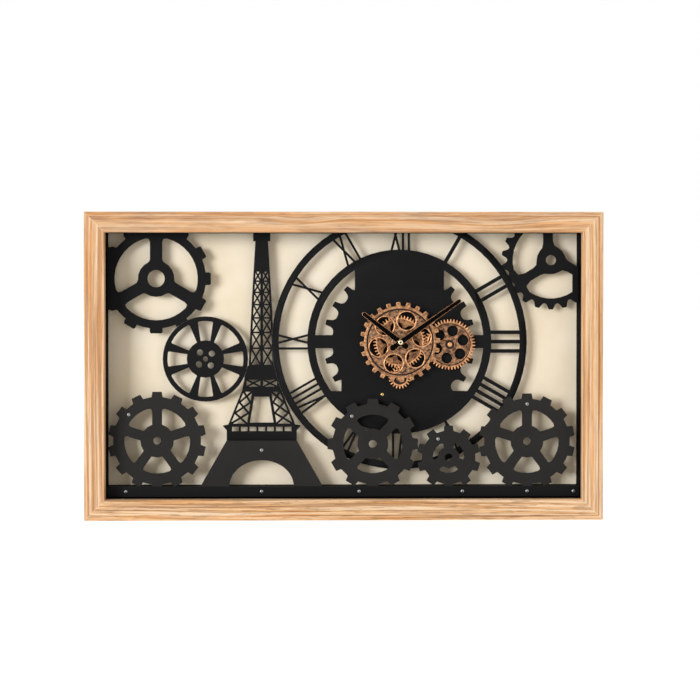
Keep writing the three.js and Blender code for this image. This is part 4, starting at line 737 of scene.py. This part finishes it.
def handRing(length, tail, degrees):
    # round tail, eye, straight taper and a cut tip
    half, tip, end = hands["root"] / 2, hands["tip"] / 2, hands["tailWidth"] / 2
    eye = hands["eye"]
    edgeLine = [(end - tail + end * cos(radians(a)), end * sin(radians(a))) for a in range(170, 60, -20)]
    edgeLine += [(-eye - 0.6, hands["neck"] / 2), (-eye * 0.66, eye), (0, eye + 0.1), (eye, half),
                 (length - tip * 0.66, tip), (length, tip * 0.4)]
    points = edgeLine + [(a, -b) for a, b in edgeLine[::-1]]
    turn = Matrix.Rotation(radians(degrees), 2)
    return [tuple(turn @ Vector(p) + Vector((dialX, dialZ))) for p in points]


for name in ("hour", "minute"):
    spec = hands[name]
    low, high = spanOf(name + "_hand")
    outline = handRing(spec["length"], spec["tail"], spec["angle"])
    blade = cutPlate(outline, low.y, high.y, [ringOf(spec["hole"], dialX, dialZ, 32)], hands["edge"], 1)
    addPiece(name + "Hand", blade, ["hand", "copperEdge"], name + "_set", [name + "_hand"], 25)

low, high = spanOf("hand_nut")
inside, outside = hands["nutBore"], hands["nutRadius"]
profile = [(inside, low.y + 0.5), (inside + 0.4, low.y + 0.05), (inside + 1, low.y),
           (outside - 0.9, low.y + 0.12), (outside - 0.3, low.y + 0.5), (outside, low.y + 1.0),
           (outside, high.y), (inside, high.y), (inside, low.y + 0.5)]
addPiece("handNut", turnedPart(profile, dialX, dialZ, 40), "paleBrass", "minute_set", ["hand_nut"])
low, high = spanOf("minute_arbor")
r = hands["arbor"]
profile = [(0, low.y + 0.9), (r - 0.7, low.y + 0.6), (r - 0.4, low.y + 0.1), (r - 0.1, low.y),
           (r, low.y + 0.2), (r, high.y), (0, high.y)]
# the arbor's end is dark with painted shade
addPiece("minuteArbor", turnedPart(profile, dialX, dialZ, 28), "recess", "minute_set",
         ["minute_arbor"])
print("hands made")


# Screws.
screws = {
    "head": 3.1, "height": 1.8, "shank": 1.6, "crossLength": 2.1, "crossWidth": 0.34, "crossDepth": 1.25,
    "plateBack": 32, "spacer": 4, "brassHead": 2.8, "brassHeight": 1.4,
}


def crossHead(x, z, front, seat, radius, tail, turn, rear=False):
    # a pan head with a pressed cross, turned a little differently on each screw;
    # a rear one is built facing the front and then turned round
    h = seat - front
    dome = [(0, front), (radius * 0.3, front + 0.02 * h), (radius * 0.58, front + 0.1 * h),
            (radius * 0.8, front + 0.26 * h), (radius * 0.94, front + 0.52 * h), (radius, front + 0.82 * h),
            (radius, seat)]
    body = turnedPart(dome + tail, 0, 0, 40)
    cutter = bmesh.new()
    scale = radius / screws["head"]
    depth = min(screws["crossDepth"], h * 0.8)
    for quarter in (0, 1):
        made = bmesh.ops.create_cube(cutter, size=1)["verts"]
        for v in made:
            taper = 0.45 if v.co.y > 0 else 1.0
            v.co = Vector((v.co.x * 2 * screws["crossLength"] * scale * taper,
                           v.co.y * (depth + 1) + front - 1 + (depth + 1) / 2,
                           v.co.z * 2 * screws["crossWidth"] * scale))
            if quarter:
                v.co.x, v.co.z = v.co.z, -v.co.x
    # the pressed cross takes the painted shade
    bm = carved(body, cutter, "steel", "recess")
    bmesh.ops.rotate(bm, verts=bm.verts, cent=(0, 0, 0), matrix=Matrix.Rotation(turn, 3, "Y"))
    if rear:
        bmesh.ops.rotate(bm, verts=bm.verts, cent=(0, 0, 0), matrix=Matrix.Rotation(pi, 3, "Z"))
    bmesh.ops.translate(bm, verts=bm.verts, vec=(x, 0, z))
    return bm


screwNames = [f"rail_screw_{i}" for i in range(1, 7)]
posts = ["cog_left", "base", "cog_middle", "cog_small", "cog_right"]
postNames = ["standoff_" + place for place in posts]
for i, name in enumerate(screwNames + postNames):
    low, high = spanOf(name)
    middle = middleOf(name)
    seat = low.y + screws["height"]
    if name in screwNames:
        tail = [(screws["shank"], seat), (screws["shank"], high.y - 2), (0, high.y)]
    else:
        plateBack, spacer = frameFront + screws["plateBack"], screws["spacer"]
        tail = [(screws["shank"], seat), (screws["shank"], plateBack), (spacer, plateBack), (spacer, high.y),
                (0, high.y)]
    screw = crossHead(middle.x, middle.z, low.y, seat, screws["head"], tail, 0.6 * i)
    label = name.title().replace("_", "")
    addPiece(label[0].lower() + label[1:], screw, ["steel", "recess"], "housing", [name])
low, high = spanOf("disc_screw")
middle = middleOf("disc_screw")
seat = low.y + screws["brassHeight"]
tail = [(screws["shank"], seat), (screws["shank"], high.y - 0.5), (0, high.y)]
screw = crossHead(middle.x, middle.z, low.y, seat, screws["brassHead"], tail, 0.3)
addPiece("discScrew", screw, ["brass", "recess"], "housing", ["disc_screw"])
print("screws made")


# Works behind the disc.
works = {
    "moulding": 0.5, "border": 1.8, "edge": 0.35, "softEdge": 0.25, "fineEdge": 0.2,
    "case": {"corner": 5, "lid": 0.7, "cellPlay": 0.6, "cellRim": 1.2, "stemHole": 2.2, "knobWell": 7.3,
             "wellRim": 1.3},
    "knob": {"knurls": 30, "knurlDepth": 0.4, "stem": 2, "lift": 0.15},
    "motor": {"corner": 3, "boss": 9.5, "bossRim": 1.2, "screw": 1.8, "screwInset": 4.2, "screwWell": 2.3,
              "wellRim": 0.8},
    "cellBox": {"corner": 1.6, "play": 0.45, "slotPlay": 0.15, "slotHeight": 11.35, "screwHole": 1.9},
    "cell": {"button": 2.9, "insulator": 1.4},
    "hanger": {"keyhole": 4, "slot": 2, "drop": 1.5, "rise": 2.5, "screw": 2.7, "screwPlace": 14.5},
    "brad": {"radius": 1.2, "spacing": 88, "inset": 5, "endGap": 30},
}


def roundedBox(x0, x1, z0, z1, corner=1.0, steps=5):
    points = []
    centres = ((x1 - corner, z1 - corner), (x0 + corner, z1 - corner), (x0 + corner, z0 + corner),
               (x1 - corner, z0 + corner))
    for i, (x, z) in enumerate(centres):
        for j in range(steps + 1):
            a = pi / 2 * (i + j / steps)
            points.append((x + corner * cos(a), z + corner * sin(a)))
    return points


def boxOf(node, more=0.0, corner=1.0):
    low, high = spanOf(node)
    return roundedBox(low.x - more, high.x + more, low.z - more, high.z + more, corner)


def rearScrew(x, z, back, radius, height, depth, turn):
    shank = radius * 0.5
    tail = [(shank, height - back), (shank, depth - back), (0, depth + 0.5 - back)]
    return crossHead(x, z, -back, height - back, radius, tail, turn, True)


def lip(x, z, inner, outer, front, back, steps=48):
    profile = [(inner, front), (inner, back), (outer, back), (outer, front), (inner, front)]
    return turnedPart(profile, x, z, steps)


moulding, border = works["moulding"], works["border"]
rounding, softBevel, fineBevel = works["edge"], works["softEdge"], works["fineEdge"]

case = works["case"]
low, high = spanOf("movement_case")
knob = middleOf("set_knob")
shell, ridge = high.y - moulding, high.y - 0.05
outline = boxOf("movement_case", 0, case["corner"])
inner = boxOf("movement_case", -border, case["corner"] - 1.4)
bay = boxOf("movement_cell", case["cellPlay"], 0.8)
bayRim = boxOf("movement_cell", case["cellPlay"] + case["cellRim"], 1.6)
stemHole = ringOf(case["stemHole"], knob.x, knob.z, 28)
addPiece("movementCase", joined(
    cutPlate(outline, low.y, low.y + case["lid"], [], softBevel),
    cutPlate(outline, low.y + case["lid"] - lap, shell, [bay, stemHole], rounding),
    cutPlate(outline, shell - lap, high.y, [inner], fineBevel),
    cutPlate(bayRim, shell - lap, ridge, [bay], 0.15),
    lip(knob.x, knob.z, case["knobWell"], case["knobWell"] + case["wellRim"], shell - 0.1, ridge),
), "plastic", "housing", ["movement_case"])

spec = works["knob"]
low, high = spanOf("set_knob")
capFront = spanOf("movement_case")[1].y + spec["lift"]
radius, r = (high.x - low.x) / 2, spec["stem"]
knurl = toothedRing(knob.x, knob.z, radius - spec["knurlDepth"], radius, spec["knurls"], 0,
                    [(-0.34, 0), (-0.16, 1), (0.16, 1), (0.34, 0)])
stem = [(0, low.y), (r - 0.2, low.y), (r, low.y + 0.2), (r, capFront + 0.2), (0, capFront + 0.2)]
addPiece("setKnob", joined(
    turnedPart(stem, knob.x, knob.z, 28),
    cutPlate(knurl, capFront, high.y - 0.5, [], softBevel),
    lip(knob.x, knob.z, radius - 2, radius - 0.9, high.y - 0.8, high.y),
), "plastic", "knob_set", ["set_knob"])

motor = works["motor"]
low, high = spanOf("motor_case")
middle = middleOf("motor_case")
shell, ridge = high.y - moulding, high.y - 0.05
inset, well = motor["screwInset"], motor["screwWell"]
corners = [(x, z) for x in (low.x + inset, high.x - inset) for z in (low.z + inset, high.z - inset)]
outline = boxOf("motor_case", 0, motor["corner"])
inner = boxOf("motor_case", -border, motor["corner"] - 1)
addPiece("motorCase", joined(
    cutPlate(outline, low.y, shell, [], rounding),
    cutPlate(outline, shell - lap, high.y, [inner], fineBevel),
    lip(middle.x, middle.z, motor["boss"] - motor["bossRim"], motor["boss"], shell - 0.1, ridge),
    *[lip(x, z, well, well + motor["wellRim"], shell - 0.1, ridge, 28) for x, z in corners],
), "plastic", "housing", ["motor_case"])
caseScrews = [rearScrew(x, z, high.y, motor["screw"], 0.7, 3, 0.7 * i) for i, (x, z) in enumerate(corners)]
addPiece("motorScrews", joined(*caseScrews), ["steel", "recess"], "housing")

spec = works["cellBox"]
low, high = spanOf("cell_box")
upperLow, upperHigh = spanOf("motor_cell_upper")
lowerLow = spanOf("motor_cell_lower")[0]
slideLow, slideHigh = spanOf("gear_switch")
play, gap = spec["play"], spec["slotPlay"]
bay = roundedBox(upperLow.x - play, upperHigh.x + play, lowerLow.z - play, upperHigh.z + play, 0.8)
slotTop = slideLow.z + spec["slotHeight"]
slot = roundedBox(slideLow.x - gap, slideHigh.x + gap, slideLow.z - gap, slotTop, 0.3)
floorTop = upperLow.y - 0.2
slotFloor = slideLow.y - gap
screw = middleOf("disc_screw")
outline = boxOf("cell_box", 0, spec["corner"])
addPiece("cellBox", joined(
    cutPlate(outline, low.y, floorTop, [ringOf(spec["screwHole"], screw.x, screw.z, 24)], softBevel),
    cutPlate(outline, floorTop - lap, slotFloor, [bay], fineBevel),
    cutPlate(outline, slotFloor - lap, high.y, [bay, slot], rounding),
), "plastic", "housing", ["cell_box"])

for node, name in cellNodes.items():
    low, high = spanOf(node)
    half, radius = (high.x - low.x) / 2, (high.z - low.z) / 2
    button, shoulder = works["cell"]["button"], half - works["cell"]["insulator"]
    profile = [(0, -half), (radius - 1.6, -half), (radius - 1.2, -half + 0.15), (radius - 0.4, -half + 0.15),
               (radius, -half + 0.5), (radius, shoulder - 0.5), (radius - 0.4, shoulder - 0.1),
               (button, shoulder), (button - 0.2, half - 0.2), (button - 0.5, half), (0, half)]
    can = turnedPart(profile, 0, 0, 56)
    bmesh.ops.rotate(can, verts=can.verts, cent=(0, 0, 0), matrix=Matrix.Rotation(-pi / 2, 3, "Z"))
    bmesh.ops.translate(can, verts=can.verts, vec=middleOf(node))
    addPiece(name, can, name, "housing", [node])

hanger = works["hanger"]
roundArc = [radians(120 + 300 * i / 24) for i in range(25)]
slotArc = [pi * i / 8 for i in range(9)]
for side in ("left", "right"):
    node = "hanger_" + side
    low, high = spanOf(node)
    middle = middleOf(node)
    wide, narrow = hanger["keyhole"], hanger["slot"]
    drop, rise = middle.z - hanger["drop"], middle.z + hanger["rise"]
    keyhole = [(middle.x + wide * cos(a), drop + wide * sin(a)) for a in roundArc]
    keyhole += [(middle.x + narrow * cos(a), rise + narrow * sin(a)) for a in slotArc]
    plate = cutPlate(boxOf(node, 0, 2), low.y, high.y, [keyhole], softBevel)
    addPiece("hanger" + side.title(), plate, "plateSteel", "housing", [node])
    plateScrews = [rearScrew(middle.x + place, middle.z, high.y + 0.08, hanger["screw"], 0.9, 8, 0.5 + place)
                   for place in (-hanger["screwPlace"], hanger["screwPlace"])]
    addPiece("hangerScrews" + side.title(), joined(*plateScrews), ["steel", "recess"], "housing")

# brads hold the board in the battens' rebate
brad = works["brad"]
low, high = spanOf("backboard")
middle = (low + high) / 2
brads = []
for along, span, ends in (("x", high.x - low.x, (low.z, high.z)), ("z", high.z - low.z, (low.x, high.x))):
    count = round(span / brad["spacing"])
    for i in range(count):
        t = (i - (count - 1) / 2) * (span - brad["endGap"]) / (count - 1)
        for end, sign in zip(ends, (1, -1)):
            other = end + sign * brad["inset"]
            brads.append((middle.x + t, other) if along == "x" else (other, middle.z + t))
r = brad["radius"]
profile = [(0, high.y - 0.5), (r, high.y - 0.5), (r, high.y + 0.15), (r * 0.7, high.y + 0.35),
           (0, high.y + 0.42)]
heads = [turnedPart(profile, x, z, 14) for x, z in brads]
addPiece("boardBrads", joined(*heads), "steel", "housing")
print("works made")


# Disc of the dial. Its cut teeth are round in the CAD sheet; here they get straight flanks and flat tips.
# The flank is a list of (share of the pitch, share of the height), from a tooth's tip to the next valley.
disc = {
    "root": 117.8, "tip": 134.6, "teeth": 24, "arm": 11.51, "column": 78.31, "floor": -86.99,
    "flank": [(0.128, 1.0), (0.159, 0.64), (0.187, 0.4), (0.213, 0.28), (0.24, 0.2), (0.293, 0.1),
              (0.343, 0.04), (0.41, 0.012), (0.46, 0.003), (0.5, 0.0)],
    "fill": {"left": -102, "right": -86, "floor": -88, "top": -66, "inset": 0.01},
    "thickness": 3, "overcut": 1, "smallest": 0.5,
}


def clipped(points, axis, limit, side):
    # what an outline has beyond a limit along X (0) or Z (1)
    left = []
    for a, b in zip(points, points[1:] + points[:1]):
        beyond = [side * (p[axis] - limit) > 0 for p in (a, b)]
        if beyond[0]:
            left.append(a)
        if beyond[0] != beyond[1]:
            t = (limit - a[axis]) / (b[axis] - a[axis])
            left.append((a[0] + t * (b[0] - a[0]), a[1] + t * (b[1] - a[1])))
    return left


sheetFront = spanOf("cutout_dial")[0].y
sheetBack = sheetFront + disc["thickness"]
# each window is a list of limits: axis, where, and which side of it stays
windows = [[(0, side * disc["column"], side), (1, disc["arm"], 1)] for side in (1, -1)]
windows += [[(0, 0, side), (1, -disc["arm"], -1), (1, disc["floor"], 1)] for side in (1, -1)]
flank = disc["flank"]
shares = flank + [(1 - share, height) for share, height in flank[-2::-1]]
pitch = 2 * pi / disc["teeth"]
valleys = []
for tooth in range(disc["teeth"]):
    valley = []
    for share, height in shares:
        r, a = disc["root"] + (disc["tip"] - disc["root"]) * height, (tooth + share) * pitch
        valley.append((r * cos(a), r * sin(a)))
    for limits in windows:
        outline = valley
        for axis, limit, side in limits:
            outline = clipped(outline, axis, limit, side)
        if abs(area(outline)) > disc["smallest"]:
            outline = [(dialX + x, dialZ + z) for x, z in outline]
            valleys.append(cutPlate(outline, sheetFront - disc["overcut"], sheetBack + disc["overcut"]))
sheet = bmesh.new()
sheet.from_mesh(nodes["cutout_dial"].data)
sheet.transform(Matrix.Scale(1 / mm, 4) @ nodes["cutout_dial"].matrix_world)
bmesh.ops.remove_doubles(sheet, verts=sheet.verts, dist=1e-4)
sheet = carved(sheet, joined(*valleys), "sheet", "sheet")
# the lower left window ends in an upright edge
fill = disc["fill"]
left, right = dialX + fill["left"], dialX + fill["right"]
floor, top = dialZ + fill["floor"], dialZ + fill["top"]
upright = cutPlate([(left, floor), (right, floor), (right, top), (left, top)],
                   sheetFront + fill["inset"], sheetBack - fill["inset"])
addPiece("cutoutDial", joined(sheet, upright), ["sheet", "sheet"], "housing", ["cutout_dial"])
print("disc made")


# CAD parts that keep their own mesh.
kept = {
    "cream": ["backboard"],
    "sheet": ["cutout_gear", "cutout_reel", "cutout_tower", "cutout_chainring"],
    "charcoal": ["front_plate"],
    "blackWood": ["rail_bar"],
    "plateSteel": ["wheel_clip", "gear_switch"],
    "brass": ["hour_tube", "shaft_bushing", "bushing_nut"],
}
for look, members in kept.items():
    for member in members:
        dress(member, look)
print("kept parts dressed")


# Floor, lamps and camera.
studio = {
    "world": 0.55, "worldTone": "fff4e4", "floorGlow": 0.66, "floorTone": "e8e7e5", "floorReach": 14,
    "key": {"at": (-8.6, -8.4, 1.7), "aim": (0.0, 0.0, -0.25), "size": 4.8, "power": 1135},
    "fill": {"at": (1.9, -2.6, -0.4), "aim": (0.0, 0.0, -0.25), "size": 1.8, "power": 8},
    "rear": {"at": (0.8, 2.6, 1.2), "aim": (0.0, 0.0, -0.25), "size": 1.8, "power": 40},
}


def lamp(name, spec):
    light = bpy.data.lights.new(name, "AREA")
    light.size = spec["size"]
    light.energy = spec["power"]
    holder = bpy.data.objects.new(name, light)
    holder.location = spec["at"]
    aim = Vector(spec["aim"]) - holder.location
    holder.rotation_euler = aim.to_track_quat("-Z", "Y").to_euler()
    scene.collection.objects.link(holder)


def seenPlainly(finish):
    # 1 where the camera sees a surface, also in metal or through glass
    rays = finish.node("ShaderNodeLightPath")
    seen = finish.sums("MAXIMUM", rays.out("Is Camera Ray"), rays.out("Is Glossy Ray"))
    return finish.sums("MAXIMUM", seen, rays.out("Is Transmission Ray"))


for name in ("key", "fill", "rear"):
    lamp(name, studio[name])

floorPiece = bpy.data.objects.new("floor", bpy.data.meshes.new("floor"))
bm = bmesh.new()
bmesh.ops.create_grid(bm, x_segments=1, y_segments=1, size=studio["floorReach"])
bmesh.ops.translate(bm, verts=bm.verts, vec=(0, 0, cadBox[0][2]))
bm.to_mesh(floorPiece.data)
bm.free()
scene.collection.objects.link(floorPiece)
ground = Finish("floor")
plain = ground.node("ShaderNodeBsdfDiffuse", None, {"Color": colour(studio["floorTone"])})
glow = ground.node("ShaderNodeEmission", None, {"Color": (1, 1, 1, 1), "Strength": studio["floorGlow"]})
both = ground.node("ShaderNodeAddShader", None, {0: plain, 1: glow})
shown = ground.node("ShaderNodeMixShader", None, {0: seenPlainly(ground), 1: plain, 2: both})
ground.node("ShaderNodeOutputMaterial", None, {"Surface": shown})
floorPiece.data.materials.append(ground.material)

scene.world = bpy.data.worlds.new("studio")
sky = Finish("studio", scene.world)
tone = {"Color": colour(studio["worldTone"]), "Strength": studio["world"]}
dim = sky.node("ShaderNodeBackground", None, tone)
white = sky.node("ShaderNodeBackground", None, {"Color": (1, 1, 1, 1), "Strength": 1.0})
shown = sky.node("ShaderNodeMixShader", None, {0: seenPlainly(sky), 1: dim, 2: white})
sky.node("ShaderNodeOutputWorld", None, {"Surface": shown})

view = {
    "at": (-0.0990, -2.5134, -0.0925), "yaw": 0.663, "pitch": 0.617, "lens": 72.7,
    "shift": (0.0668, -0.0846),
}
camera = bpy.data.objects.new("camera", bpy.data.cameras.new("camera"))
camera.location = view["at"]
camera.rotation_euler = (radians(90 - view["pitch"]), 0, radians(-view["yaw"]))
camera.data.lens = view["lens"]
camera.data.sensor_width = 36
camera.data.shift_x, camera.data.shift_y = view["shift"]
scene.collection.objects.link(camera)
scene.camera = camera
scene.view_settings.view_transform = "Standard"
print("floor, lamps and camera made")
